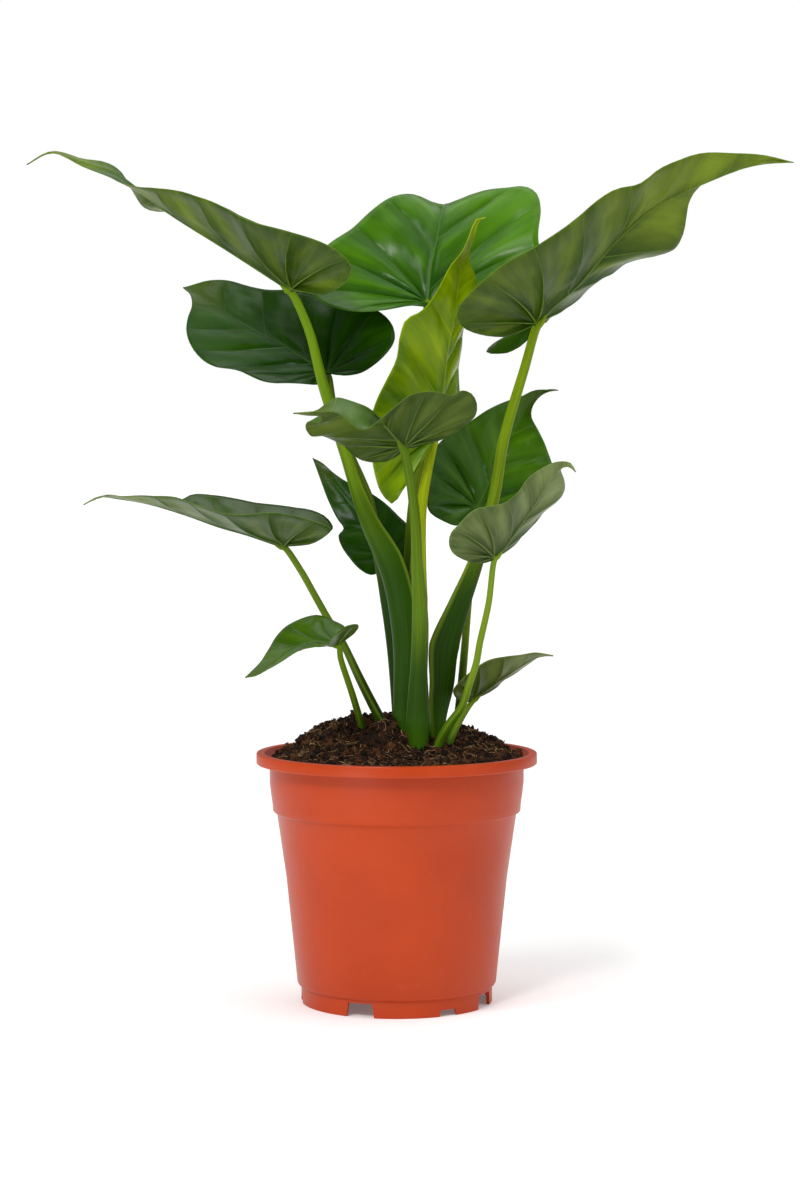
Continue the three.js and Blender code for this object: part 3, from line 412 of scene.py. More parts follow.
FACTS = ("row", "column", "speed", "span", "along", "away", "crest")
VEIN_PHASES = (0, 0.03, 0.08, 0.18, 0.34, 0.5, 0.66, 0.82, 0.92, 0.97)
BLADE_COLUMNS = 28
WELD_DIGITS = 4
COLUMN_CROWDING = 1.6
VEIN_SLOPE = 1.0
VEIN_BOW = 0.05
MIDRIB_PLACES = 2000
MARGIN_PLACES = 200
PAST_JOINT = 0.001
CUP = 0.06
HALF_THICKNESS = 0.3
RIM_START = 0.95
RIM_THINNING = 0.65
RIB_DEPTH = 1.5
RIB_WIDTH = 1.5
VEIN_RIDGE = 0.3
VEIN_WIDTH = 0.6
VEIN_RISE = (2, 8)
TIP_FLATTENING = 0.85
TIP_NARROWING = 0.7
CREST_ROUNDING = 0.8
PUFF_RISE = (0, 10)
PUFF_FALL = (0.7, 1)
PUFF_LOSS = 0.85
PUFF_WIDTHS = (4, 26)
BLISTER_SIZE = 7
BLISTER_SHARE = 0.3
BLISTER_SEED = 3
STREAKS_PER_VEIN = 2.4
STREAK_LENGTH = 26
STREAK_SHARE = 0.35
STREAK_SEED = 5
JOINT_SWELL = 1.0
JOINT_REACH = 32


def margin_rail(blade, side):
    """The margin from the joint to the tip."""
    midrib = blade["midrib"]
    return Rail(midrib[:1] + blade[side] + midrib[-1:])


def row_shares(veins):
    """Places along the margin, close together beside each side vein."""
    shares = [(vein + phase) / veins for vein in range(veins) for phase in VEIN_PHASES]
    return np.array(shares[1:] + [1.0])


def vein_roots(midrib, margin, u):
    """The share of the midrib at which the row to each place on the margin starts.

    A row slants forward from the midrib, and the rows of the lobe all start at the joint.
    """
    places = np.linspace(0, 1, MIDRIB_PLACES)
    gaps = np.linalg.norm(margin.at(u)[:, None] - midrib.at(places)[None], axis=-1)
    roots = places[gaps.argmin(1)] - VEIN_SLOPE * gaps.min(1) / midrib.length
    roots = np.maximum.accumulate(np.clip(roots, 0, 1))
    return np.concatenate([[0], evened(roots)[1:-1], [1]])


def puffing(blade, side, u, v, along, length, margin):
    """Height of the surface between the side veins, and how near each place is to a crest."""
    span = v * length
    crest = np.abs(np.sin(np.pi * blade["veins"] * u)) ** CREST_ROUNDING
    swell = 1 + JOINT_SWELL * np.exp(-((span - JOINT_REACH) / JOINT_REACH) ** 2) * (1 - along)
    reach = smoothstep(*PUFF_RISE, span) * (1 - PUFF_LOSS * smoothstep(*PUFF_FALL, v))
    reach = reach * smoothstep(*PUFF_WIDTHS, length)
    blisters = lattice_noise(u * margin.length, span * side, BLISTER_SIZE, BLISTER_SEED)
    streaks = lattice_noise(
        u * blade["veins"] * STREAKS_PER_VEIN, span * side / STREAK_LENGTH, 1, STREAK_SEED)
    height = crest * swell + BLISTER_SHARE * blisters + STREAK_SHARE * streaks
    return reach * (blade["puff"] * height), crest * reach


def blade_half(blade, side):
    """Points of one half on a grid whose rows follow the side veins, and facts for each."""
    midrib = Rail(blade["midrib"])
    margin = margin_rail(blade, "left" if side > 0 else "right")
    u = row_shares(blade["veins"])[:, None]
    v = (np.linspace(0, 1, BLADE_COLUMNS + 1) ** COLUMN_CROWDING)[None]
    along = vein_roots(midrib, margin, u[:, 0])[:, None]
    root, ahead = midrib.at(along), midrib.along(along)
    chord = margin.at(u) - root
    length = np.linalg.norm(chord, axis=-1)
    normal = side * unit(np.cross(ahead, chord))
    forward = -side * unit(np.cross(normal, chord))
    fade = np.sqrt(np.clip(np.sin(np.pi * u), 0, 1))
    hump = 4 * v * (1 - v) * length * fade
    height, count, phase = blade["wave"]
    ripple = height * v ** 2 * fade * np.sin(2 * np.pi * (count * u + phase))
    puff, crest = puffing(blade, side, u, v, along, length, margin)
    lift = (ripple + puff - CUP * hump)[..., None]
    points = root + chord * v[..., None] + normal * lift + forward * (VEIN_BOW * hump)[..., None]
    speed = np.linalg.norm(np.gradient(points, u[:, 0], axis=0), axis=-1)
    away = np.linalg.norm(points - root[0, 0], axis=-1) / midrib.length
    facts = (u, v, speed, v * length, along, away, crest)
    return points, np.stack(np.broadcast_arrays(*facts), -1)


def blade_grid(blade):
    """The mid surface of a blade: points, their facts, and quads with the upper side out."""
    points, facts, quads = [], [], []
    for side in (1, -1):
        half, half_facts = blade_half(blade, side)
        rows, columns = half.shape[:2]
        index = np.arange(rows * columns).reshape(rows, columns) + len(points) * rows * columns
        a, b, c, d = index[:-1, :-1], index[1:, :-1], index[1:, 1:], index[:-1, 1:]
        order = (a, b, c, d) if side > 0 else (a, d, c, b)
        quads.append(np.stack([corner.ravel() for corner in order], -1))
        points.append(half.reshape(-1, 3))
        facts.append(half_facts.reshape(rows * columns, -1))
    points, facts = np.concatenate(points), np.concatenate(facts)
    _, first, index = np.unique(
        np.round(points, WELD_DIGITS), axis=0, return_index=True, return_inverse=True)
    return points[first], facts[first], index.ravel()[np.concatenate(quads)]


def blade_piece(name, blade, material):
    points, facts, quads = blade_grid(blade)
    row, column, speed, span, along = facts.T[:5]
    normals = point_normals(points, quads)
    thin = 1 - RIM_THINNING * smoothstep(RIM_START, 1, column)
    narrow = 1 - TIP_NARROWING * along
    rib = RIB_DEPTH * (1 - TIP_FLATTENING * along) * np.exp(-(span / (RIB_WIDTH * narrow)) ** 2)
    phase = row * blade["veins"] % 1
    offset = np.minimum(phase, 1 - phase) / blade["veins"] * speed
    ridge = VEIN_RIDGE * (1 - column) * np.exp(-(offset / VEIN_WIDTH) ** 2)
    ridge = ridge * smoothstep(*VEIN_RISE, span)
    upper = points + normals * (HALF_THICKNESS * thin)[:, None]
    lower = points - normals * (HALF_THICKNESS * thin + rib + ridge * narrow)[:, None]
    total = len(points)
    faces = clean_faces(quads) + [face[::-1] for face in clean_faces(quads + total)]
    faces += [[b, a, a + total, b + total] for a, b in open_edges(quads)]
    piece = new_object(name, np.concatenate([upper, lower]), faces, material)
    doubled = dict(zip(FACTS, np.tile(facts.T, 2)))
    add_facts(piece, under=np.repeat([0, 1], total), **doubled)
    return piece


def upper_side(blade, share):
    """The direction that the upper side faces, from the first rows past a share of the midrib."""
    midrib = Rail(blade["midrib"])
    places = np.linspace(0, 1, MARGIN_PLACES)
    ends = []
    for side in ("left", "right"):
        margin = margin_rail(blade, side)
        row = np.searchsorted(vein_roots(midrib, margin, places), share + PAST_JOINT)
        ends.append(margin.at(places[row]))
    return unit(np.cross(midrib.along(share), ends[0] - ends[1]))


# Leaf stalks

STALK_RINGS = 120
STALK_SIDES = 32
NECK_REACH = (2, 4, 7, 10)
NECK_DROP = 0.5
NECK_END = 0.12


def stalk_route(stalk, blade):
    """The stalk's path, carried on under the midrib, and the share that is the stalk itself."""
    midrib = Rail(blade["midrib"])
    half = stalk["sections"][-1][1]
    points = [np.array(point, float) for point in stalk["path"]]
    points[-1] = points[-1] - NECK_DROP * half * upper_side(blade, 0)
    for reach in NECK_REACH:
        share = reach / midrib.length
        drop = half * (1 - (1 - NECK_END) * reach / NECK_REACH[-1])
        points.append(midrib.at(share) - drop * upper_side(blade, share))
    route = Rail(points)
    return route, Rail(stalk["path"]).length / route.length


def section_table(stalk):
    """The sections in full, where a round one is given by its place and radius alone."""
    rows = [row if len(row) > 2 else (*row, row[1], 2 * row[1], 0) for row in stalk["sections"]]
    return np.array(rows, float)


def stalk_piece(name, stalk, blade, material):
    route, own_share = stalk_route(stalk, blade)
    share = np.linspace(0, 1, STALK_RINGS + 1)
    centre, ahead = route.at(share), route.along(share)
    opening = np.array(stalk["open"], float)
    outward = unit(opening - (ahead @ opening)[:, None] * ahead)
    sideways = np.cross(ahead, outward)
    table = section_table(stalk)
    place = np.minimum(share / own_share, 1)
    taper = np.interp(share, [own_share, 1], [1, NECK_END])
    width, depth, floor, edge = (
        (taper * np.interp(place, table[:, 0], table[:, k]))[:, None] for k in range(1, 5))
    angle = np.linspace(0, 2 * np.pi, STALK_SIDES, endpoint=False)[None]
    rise = np.abs(np.sin(angle))
    x = width * np.cos(angle)
    y = edge * np.cos(angle) ** 2 - depth * rise + np.where(np.sin(angle) > 0, floor * rise, 0)
    rings = centre[:, None] + x[..., None] * sideways[:, None] + y[..., None] * outward[:, None]
    points = np.concatenate([rings.reshape(-1, 3), centre[[0, -1]]])
    piece = new_object(name, points, tube_faces(len(share), STALK_SIDES), material)
    length = share * route.length
    facts = np.stack(np.broadcast_arrays(length[:, None], np.cos(angle), np.sin(angle)), -1)
    facts = np.concatenate([facts.reshape(-1, 3), [(0, 0, 0), (route.length, 0, 0)]])
    add_facts(piece, length=facts[:, 0], around=facts[:, 1], inside=facts[:, 2])
    return piece


# Materials

class Paint:
    """Short calls that build the nodes of one material, or of the sky."""

    def __init__(self, name, kind="materials", shader="Principled BSDF"):
        self.painted = getattr(bpy.data, kind).new(name)
        self.painted.use_nodes = True
        self.nodes = self.painted.node_tree.nodes
        self.links = self.painted.node_tree.links
        self.shader = self.nodes[shader]

    def add(self, kind, values=(), **settings):
        node = self.nodes.new(kind)
        for key, value in settings.items():
            setattr(node, key, value)
        for key, value in dict(values).items():
            self.put(node.inputs[key], value)
        return node

    def put(self, socket, value):
        if isinstance(value, bpy.types.NodeSocket):
            self.links.new(value, socket)
        else:
            socket.default_value = value

    def set(self, **values):
        for key, value in values.items():
            self.put(self.shader.inputs[key.replace("_", " ")], value)

    def math(self, operation, a, b=0.0, clamp=False):
        node = self.add("ShaderNodeMath", {0: a, 1: b}, operation=operation, use_clamp=clamp)
        return node.outputs[0]

    def times(self, a, b):
        return self.math("MULTIPLY", a, b)

    def blend(self, *terms):
        """The sum of values, each times its weight."""
        total = 0.0
        for value, weight in terms:
            total = self.math("ADD", total, self.times(value, weight))
        return total

    def line(self, distance, width):
        """1 at no distance and 0 at the width."""
        return self.math("SUBTRACT", 1.0, self.math("DIVIDE", distance, width), clamp=True)

    def remap(self, value, low, high, to_low=0.0, to_high=1.0):
        values = {"Value": value, "From Min": low, "From Max": high,
                  "To Min": to_low, "To Max": to_high}
        node = self.add("ShaderNodeMapRange", values, interpolation_type="SMOOTHSTEP")
        return node.outputs[0]

    def mix(self, share, a, b):
        node = self.add("ShaderNodeMix", {0: share, 6: a, 7: b}, data_type="RGBA")
        return node.outputs[2]

    def coat(self, base, colour, share, most):
        """The base with a colour over it that covers most of it where the share is 1."""
        return self.mix(self.times(share, most), base, colour)

    def fact(self, name):
        return self.add("ShaderNodeAttribute", attribute_name=name).outputs["Fac"]

    def join(self, x, y, z=0.0):
        return self.add("ShaderNodeCombineXYZ", {0: x, 1: y, 2: z}).outputs[0]

    def place(self):
        return self.add("ShaderNodeTexCoord").outputs["Object"]

    def noise(self, vector, scale, detail=3.0, roughness=0.5):
        values = {"Vector": vector, "Scale": scale, "Detail": detail, "Roughness": roughness}
        return self.add("ShaderNodeTexNoise", values).outputs[0]

    def bump(self, height, strength, distance):
        values = {"Height": height, "Strength": strength, "Distance": distance}
        return self.add("ShaderNodeBump", values).outputs[0]


def rgb(red, green, blue):
    """Linear colour from an sRGB colour of 0 to 255."""
    def linear(value):
        value = value / 255
        return value / 12.92 if value <= 0.04045 else ((value + 0.055) / 1.055) ** 2.4
    return (linear(red), linear(green), linear(blue), 1.0)


# Leaf material. Each look has the upper side's two greens, the lower side's two greens, and
# the veins' green. The two greens of a side are mixed by a tone that holds painted shade and
# painted highlights. A pair of widths holds the one at the midrib or joint and the one at the
# margin or tip. A curled tip has the lower side's greens all round.

LOOKS = {
    "bright": [(26, 70, 0), (76, 126, 2), (58, 80, 14), (80, 100, 28), (88, 134, 20)],
    "mid": [(34, 66, 4), (52, 88, 12), (38, 62, 2), (106, 126, 24), (104, 132, 30)],
    "deep": [(16, 48, 0), (38, 76, 0), (42, 64, 10), (62, 84, 20), (56, 96, 10)],
    "back": [(34, 72, 0), (70, 112, 6), (42, 64, 10), (62, 84, 20), (78, 114, 18)],
    "front": [(50, 84, 16), (84, 112, 40), (42, 64, 10), (96, 114, 40), (106, 130, 48)],
    "fresh": [(44, 80, 0), (78, 112, 10), (50, 74, 10), (74, 98, 28), (92, 124, 20)],
    "olive": [(34, 58, 4), (62, 88, 14), (50, 68, 14), (108, 122, 60), (112, 130, 64)],
    "lime": [(68, 104, 0), (152, 176, 2), (78, 114, 0), (152, 172, 12), (166, 188, 20)],
    "low": [(38, 64, 6), (60, 88, 14), (40, 66, 10), (104, 122, 58), (102, 126, 56)],
    "pale": [(42, 64, 6), (62, 88, 14), (46, 66, 14), (118, 132, 76), (116, 134, 74)],
}
VEIN_LINE_WIDTHS = (0.7, 0.2)
RIB_LINE_WIDTHS = (1.4, 0.4)
CLOUD_SCALE = 22.0
CELL_SCALE = 330.0
CELL_DEPTH = 0.06
GRAIN_SCALE = 150.0
GRAIN_DEPTH = 0.5
GROOVE_DEPTH = 0.8
CURLED_TIP = (0.6, 0.85)
UPPER_ROUGHNESS = 0.25
LOWER_ROUGHNESS = 0.36
RELIEF_DISTANCE = 0.0004
SPECULAR = 0.15
DEEP_SPECULAR = 0.09


def vein_lines(paint, veins):
    """1 on the midrib and the side veins, and 0 between them."""
    phase = paint.math("FRACT", paint.times(paint.fact("row"), veins))
    off = paint.math("MINIMUM", phase, paint.math("SUBTRACT", 1.0, phase))
    distance = paint.times(paint.math("DIVIDE", off, veins), paint.fact("speed"))
    width = paint.remap(paint.fact("column"), 0.0, 1.0, *VEIN_LINE_WIDTHS)
    rib_width = paint.remap(paint.fact("along"), 0.0, 1.0, *RIB_LINE_WIDTHS)
    rib = paint.line(paint.fact("span"), rib_width)
    return paint.math("MAXIMUM", paint.line(distance, width), rib)


def leaf_tone_with_painted_light(paint, veins, place):
    """0 for the darker green and 1 for the lighter one, with painted shade and highlights in it."""
    cloudy = paint.noise(place, CLOUD_SCALE)
    # Painted highlight streaks along the side veins, standing in for gloss on the pleats.
    across = paint.times(paint.fact("row"), veins * STREAKS_PER_VEIN)
    outward = paint.math("DIVIDE", paint.fact("span"), 2 * STREAK_LENGTH)
    streaks = paint.noise(paint.join(across, outward, paint.fact("under")), 1.0, 4.0, 0.6)
    streaks = paint.remap(streaks, 0.32, 0.7)
    # The crest term paints shade in the valleys between the side veins; away lightens the blade outward
    # from the joint.
    tone_with_painted_light = paint.blend((paint.fact("crest"), 0.25), (cloudy, 0.25), (paint.fact("away"), 0.7),
                       (streaks, 0.3))
    return paint.remap(tone_with_painted_light, 0.3, 1.25)


def leaf_relief(paint, vein, place):
    """Height of the fine net, the grain and the veins, which are grooves on the upper side."""
    cells = paint.add("ShaderNodeTexVoronoi", {"Vector": place, "Scale": CELL_SCALE},
                      feature="DISTANCE_TO_EDGE").outputs["Distance"]
    net = paint.remap(cells, 0.0, 0.1)
    grain = paint.noise(place, GRAIN_SCALE, 2.0)
    groove = paint.remap(paint.fact("under"), 0.0, 1.0, -GROOVE_DEPTH, GROOVE_DEPTH)
    return paint.blend((net, CELL_DEPTH), (grain, GRAIN_DEPTH), (vein, groove))


def leaf_material(name, veins, look):
    paint = Paint(name)
    place = paint.place()
    under = paint.fact("under")
    dark, light, under_dark, under_light, vein_green = (rgb(*c) for c in LOOKS[look])
    vein = vein_lines(paint, veins)
    tone_with_painted_light = leaf_tone_with_painted_light(paint, veins, place)
    upper = paint.coat(paint.mix(tone_with_painted_light, dark, light), vein_green, vein, 0.5)
    lower = paint.coat(paint.mix(tone_with_painted_light, under_dark, under_light), vein_green, vein, 0.6)
    tip = paint.remap(paint.fact("along"), *CURLED_TIP)
    green = paint.mix(paint.math("MAXIMUM", under, tip), upper, lower)
    rim = paint.remap(paint.fact("column"), 0.985, 1.0)
    paint.set(
        Base_Color=paint.coat(green, vein_green, rim, 0.5),
        Roughness=paint.remap(under, 0.0, 1.0, UPPER_ROUGHNESS, LOWER_ROUGHNESS),
        Normal=paint.bump(leaf_relief(paint, vein, place), 0.5, RELIEF_DISTANCE),
        Specular_IOR_Level=DEEP_SPECULAR if look == "deep" else SPECULAR,
    )
    return paint.painted


# Stalk material. Each stalk has its green low down and high up, and its sheath's length.

STALK_LOOKS = {
    "upper_left": ((38, 72, 0), (106, 138, 12), 122),
    "middle_left": ((30, 60, 0), (84, 108, 10), 105),
    "top_back": ((52, 80, 0), (110, 132, 12), 110),
    "young": ((104, 130, 0), (162, 180, 10), 80),
    "upper_right": ((36, 68, 0), (118, 144, 8), 108),
    "front": ((40, 72, 2), (92, 122, 18), 60),
    "low_left": ((52, 82, 6), (98, 126, 22), 50),
    "behind": ((44, 72, 4), (66, 96, 8), 60),
    "right_back": ((60, 92, 6), (98, 126, 22), 50),
    "right_front": ((84, 118, 10), (114, 142, 26), 40),
    "small_left": ((84, 116, 10), (104, 134, 20), 40),
    "small_right": ((86, 120, 12), (112, 140, 24), 20),
}
SHEATH_EDGE = (122, 146, 40)
STALK_FOOT = (66, 112, 4)
FOOT_FADE = (44.0, 8.0)
STREAKS_ACROSS = 9.0
STREAKS_ALONG = 0.012
STREAK_SHADE = 0.62


def stalk_material(name):
    paint = Paint("petiole_" + name)
    low, high, sheath = STALK_LOOKS[name]
    length, around = paint.fact("length"), paint.fact("around")
    grain = paint.join(paint.times(around, STREAKS_ACROSS), paint.times(length, STREAKS_ALONG),
                       paint.times(paint.fact("inside"), STREAKS_ACROSS))
    streaks = paint.noise(grain, 1.6, 4.0, 0.6)
    height = paint.remap(length, sheath * 0.9, sheath * 1.7)
    green = paint.mix(height, rgb(*low), rgb(*high))
    shade = rgb(*[c * STREAK_SHADE for c in low])
    green = paint.coat(green, shade, paint.remap(streaks, 0.38, 0.66), 0.42)
    edge = paint.remap(paint.math("ABSOLUTE", around), 0.93, 1.0)
    edge_fade = paint.remap(length, sheath * 2.0, sheath * 1.2, 0.0, 0.6)
    green = paint.coat(green, rgb(*SHEATH_EDGE), edge, edge_fade)
    green = paint.coat(green, rgb(*STALK_FOOT), paint.remap(length, *FOOT_FADE), 0.6)
    fine = paint.noise(paint.place(), 500.0, 2.0)
    relief = paint.blend((streaks, 0.8), (fine, 0.1))
    paint.set(
        Base_Color=green,
        Roughness=paint.remap(streaks, 0.3, 0.7, 0.36, 0.5),
        Normal=paint.bump(relief, 0.4, RELIEF_DISTANCE),
        Specular_IOR_Level=DEEP_SPECULAR,
    )
    return paint.painted


# Pot, soil and floor materials

PLASTIC = ((171, 54, 8), (179, 60, 13))
DUST = (196, 96, 60)
GRIT = (150, 100, 58)
PEAT = ((24, 13, 7), (70, 42, 24))
CRUMBS = ((16, 9, 4), (88, 56, 31))
STRAW = ((150, 110, 66), (222, 190, 140))
FLOOR_WHITES = ((0.9, 0.9, 0.9, 1), (0.93, 0.93, 0.93, 1))
FLOOR_GLOW = 0.12


def pot_material():
    paint = Paint("terracotta_plastic")
    place = paint.place()
    cloudy = paint.noise(place, 18.0)
    orange = paint.mix(paint.remap(cloudy, 0.3, 0.7), *(rgb(*c) for c in PLASTIC))
    specks = paint.remap(paint.noise(place, 160.0, 5.0, 0.65), 0.6, 0.72)
    grain = paint.noise(place, 1400.0, 2.0)
    paint.set(
        Base_Color=paint.coat(orange, rgb(*DUST), specks, 0.12),
        Roughness=paint.remap(cloudy, 0.3, 0.7, 0.34, 0.44),
        Normal=paint.bump(grain, 0.12, 0.0003),
        Specular_IOR_Level=0.25,
    )
    return paint.painted


def soil_material(name, browns):
    paint = Paint(name)
    place = paint.place()
    lumps = paint.math("ADD", paint.noise(place, 150.0, 6.0, 0.7), paint.fact("tint"))
    brown = paint.mix(paint.remap(lumps, 0.35, 0.75), *(rgb(*c) for c in browns))
    grit = paint.noise(place, 900.0, 4.0, 0.7)
    paint.set(
        Base_Color=paint.coat(brown, rgb(*GRIT), paint.remap(grit, 0.56, 0.72), 0.6),
        Roughness=paint.remap(lumps, 0.3, 0.7, 0.8, 0.95),
        Normal=paint.bump(grit, 0.8, 0.001),
        Specular_IOR_Level=0.2,
    )
    return paint.painted


def floor_material():
    paint = Paint("pale_floor")
    paint.set(
        Base_Color=paint.mix(paint.noise(paint.place(), 3.0, 2.0), *FLOOR_WHITES),
        Roughness=0.9,
        Specular_IOR_Level=0.1,
        Emission_Color=(1, 1, 1, 1),
        Emission_Strength=FLOOR_GLOW,
    )
    return paint.painted


# Pot

RIM_RADIUS = 85
POT_HEIGHT = 151.7
LIP_HEIGHT = 6.7
WALL = 1.5
FLOOR_HEIGHT = 9
FOOT_RADIUS = 58
FOOT_WIDTH = 2
COLLAR_RADIUS = 77
STEP_HEIGHT = 116
STEP_RADIUS = 72.8
POT_SEGMENTS = 192
NOTCHES = ((-22, 66, 158, 246), 8.5, 18), ((32, -84, 112, 202), 4, 13)
NOTCH_SLANT = 1.5
NOTCH_REACH = 6
DRAIN_RADIUS = 4
DRAIN_STEPS = 12
DRAIN_CIRCLE = 42
DRAIN_CUT = 6
DRAIN_CUT_TOP = 3.5
SHARP_ANGLE = 35


def near(radius, height, *offsets):
    """Points of a profile, by how far each lies outward from and above one place."""
    return [(radius + out, height + up) for out, up in offsets]


def pot_profile():
    """Radius and height from the middle of the underside round the wall to the middle inside."""
    foot, wall = FOOT_RADIUS - FOOT_WIDTH, COLLAR_RADIUS - WALL
    lip = POT_HEIGHT - LIP_HEIGHT
    return [
        (0, FLOOR_HEIGHT), (foot, FLOOR_HEIGHT), (foot, 0.4), (foot + 0.4, 0),
        *near(FOOT_RADIUS, 0, (-0.4, 0), (0, 0.4), (0, 10), (1.8, 11.2), (2.4, 12.2)),
        (63.7, 44), (67, 76), (69.9, 96),
        *near(STEP_RADIUS, STEP_HEIGHT, (-0.2, -1.2), (0.4, -0.4), (1.9, 0.2), (2.3, 0.8)),
        (75.3, 120.5), (76.2, 127), (COLLAR_RADIUS, 134), (COLLAR_RADIUS, lip - 0.6),
        (COLLAR_RADIUS + 0.6, lip), (RIM_RADIUS - 0.5, lip), (RIM_RADIUS, lip + 0.5),
        *near(RIM_RADIUS, POT_HEIGHT, (0, -0.9), (-0.3, -0.25), (-0.9, 0), (-4.2, 0),
              (-4.9, -0.3), (-5.3, -1.2), (-6.5, -3.5)),
        (wall, POT_HEIGHT - 7.2), (wall, 134), (73.7, 120.5), (73.7, STEP_HEIGHT + 0.8),
        (STEP_RADIUS - WALL, STEP_HEIGHT - 1), (65.5, 76), (58.9, 12.5),
        (57, FLOOR_HEIGHT + WALL), (0, FLOOR_HEIGHT + WALL)]


def turned(profile, segments):
    """Points and faces of a profile turned round the axis, with its ends on the axis."""
    angle = np.linspace(0, 2 * np.pi, segments, endpoint=False)
    inner = np.array(profile[1:-1], float)
    rings = ring_points(inner[:, :1], inner[:, 1:], angle)
    ends = [(0, 0, profile[0][1]), (0, 0, profile[-1][1])]
    points = np.concatenate([rings.reshape(-1, 3), ends])
    return points, tube_faces(len(inner), segments)


def prism(outline, low, high):
    """A bmesh prism of an outline in the XZ plane, from low to high along Y."""
    shape = bmesh.new()
    front = [shape.verts.new((x * MM, low * MM, z * MM)) for x, z in outline]
    back = [shape.verts.new((x * MM, high * MM, z * MM)) for x, z in outline]
    shape.faces.new(front)
    shape.faces.new(back[::-1])
    for k in range(len(outline)):
        shape.faces.new([front[k - 1], back[k - 1], back[k], front[k]])
    return shape


def turn(shape, degrees, axis):
    matrix = Matrix.Rotation(math.radians(degrees), 3, axis)
    bmesh.ops.rotate(shape, verts=shape.verts, cent=(0, 0, 0), matrix=matrix)


def notch_cutter(height, width):
    half = width / 2
    outline = [(-half, -1), (half, -1), (half - NOTCH_SLANT, height), (NOTCH_SLANT - half, height)]
    return prism(outline, -FOOT_RADIUS - NOTCH_REACH, -FOOT_RADIUS + NOTCH_REACH)


def drain_cutter():
    angles = [k * math.pi / DRAIN_STEPS for k in range(2 * DRAIN_STEPS)]
    circle = [(DRAIN_RADIUS * math.cos(a), DRAIN_RADIUS * math.sin(a)) for a in angles]
    shape = prism(circle, 0, DRAIN_CUT)
    turn(shape, -90, "X")
    place = Vector((0, -DRAIN_CIRCLE * MM, (FLOOR_HEIGHT + DRAIN_CUT_TOP) * MM))
    bmesh.ops.translate(shape, verts=shape.verts, vec=place)
    return shape


def cutters():
    """One mesh object with every notch and drain hole of the foot."""
    all_shapes = bmesh.new()
    scrap = bpy.data.meshes.new("scrap")
    for angles, height, width in NOTCHES:
        for degrees in angles:
            for shape in (notch_cutter(height, width), drain_cutter()):
                turn(shape, degrees, "Z")
                bmesh.ops.recalc_face_normals(shape, faces=shape.faces)
                shape.to_mesh(scrap)
                shape.free()
                all_shapes.from_mesh(scrap)
    mesh = bpy.data.meshes.new("cutters")
    all_shapes.to_mesh(mesh)
    all_shapes.free()
    return add_object("cutters", mesh)


def cut(piece, cutter):
    modifier = piece.modifiers.new("cut", "BOOLEAN")
    modifier.operation = "DIFFERENCE"
    modifier.solver = "EXACT"
    modifier.object = cutter
    bpy.context.view_layer.update()
    graph = bpy.context.evaluated_depsgraph_get()
    mesh = bpy.data.meshes.new_from_object(piece.evaluated_get(graph))
    piece.modifiers.clear()
    piece.data = mesh
    bpy.data.objects.remove(cutter)


def make_pot():
    points, faces = turned(pot_profile(), POT_SEGMENTS)
    pot = new_object("nursery_pot", points, faces, pot_material())
    cut(pot, cutters())
    pot.data.shade_smooth()
    pot.data.set_sharp_from_angle(angle=math.radians(SHARP_ANGLE))
    dress(pot, "pot", "pot")


# Soil. A heap is its place, height and two widths. The side is radius and height, and the
# roughness is the size and height of each kind of lump.

SOIL_HEAPS = (
    (-14, 24, 18, 45, 38),
    (45, 30, 8, 30, 40),
    (-50, 25, 3, 25, 25),
    (-7, -14, 11, 14, 11))
SOIL_SIDE = ((56.4, 10.9), (58.2, 12.8), (65.1, 76), (70.9, 115), (73.3, 118), (73.3, 121),
             (75.1, 134), (75.1, 144.3))
SOIL_EDGE_RADIUS = 77
SOIL_EDGE_HEIGHT = 147
SOIL_TOP = 151.5
SOIL_ROUGHNESS = ((12, 1.4), (6, 1.3), (3, 0.8), (2, 0.6))
SOIL_RINGS = 110
SOIL_SEGMENTS = 300
SOIL_MIDDLE = 0.004
HEAP_FADE = 0.25
CRUMB_CIRCLE = 76.5
CRUMB_LIFT = 0.35
CRUMB_STRETCH = (0.6, 1.4)
KNOB_HEIGHT = 0.42
KNOB_LIMITS = (-1.6, 2.2)
TINT_SPREAD = 0.2
FIBRE_COUNT = 300
FIBRE_STEPS = 14
FIBRE_CIRCLE = 70
FIBRE_LIMIT = 75
FIBRE_LENGTH = 5
FIBRE_LENGTH_SPREAD = 12
FIBRE_BEND = 4.5
FIBRE_WIDTHS = (0.1, 0.24)
FIBRE_THICKNESS = 0.7
FIBRE_LIFT = (0.6, 1.6)
RANDOM = np.random.default_rng(7)


def soil_height(x, y):
    spread = np.hypot(x, y) / SOIL_EDGE_RADIUS
    level = SOIL_TOP - (SOIL_TOP - SOIL_EDGE_HEIGHT) * spread ** 2
    edge = np.clip((1 - spread) / HEAP_FADE, 0, 1)
    heaps = sum(
        height * np.exp(-((x - cx) / wide) ** 2 - ((y - cy) / deep) ** 2)
        for cx, cy, height, wide, deep in SOIL_HEAPS)
    return level + heaps * edge


def rough_soil(x, y):
    """Height of the soil with its lumps, which fade out at the pot's wall."""
    rough = sum(
        height * (1 - 2 * np.abs(lattice_noise(x, y, scale, scale)))
        for scale, height in SOIL_ROUGHNESS)
    spread = np.hypot(x, y) / SOIL_EDGE_RADIUS
    return soil_height(x, y) + rough * np.clip((1.02 - spread) / 0.1, 0.15, 1)


def make_soil_bed(material):
    angle = np.linspace(0, 2 * np.pi, SOIL_SEGMENTS, endpoint=False)[None]
    radius = SOIL_EDGE_RADIUS * np.linspace(1, SOIL_MIDDLE, SOIL_RINGS)[:, None]
    height = rough_soil(radius * np.cos(angle), radius * np.sin(angle))
    side = np.array(SOIL_SIDE)
    rings = np.concatenate([
        ring_points(side[:, :1], side[:, 1:], angle), ring_points(radius, height, angle)])
    ends = [(0, 0, side[0, 1]), (0, 0, height[-1, 0])]
    points = np.concatenate([rings.reshape(-1, 3), ends])
    bed = new_object("soil_bed", points, tube_faces(len(rings), SOIL_SEGMENTS), material)
    dress(bed, "soil", "potting_soil")


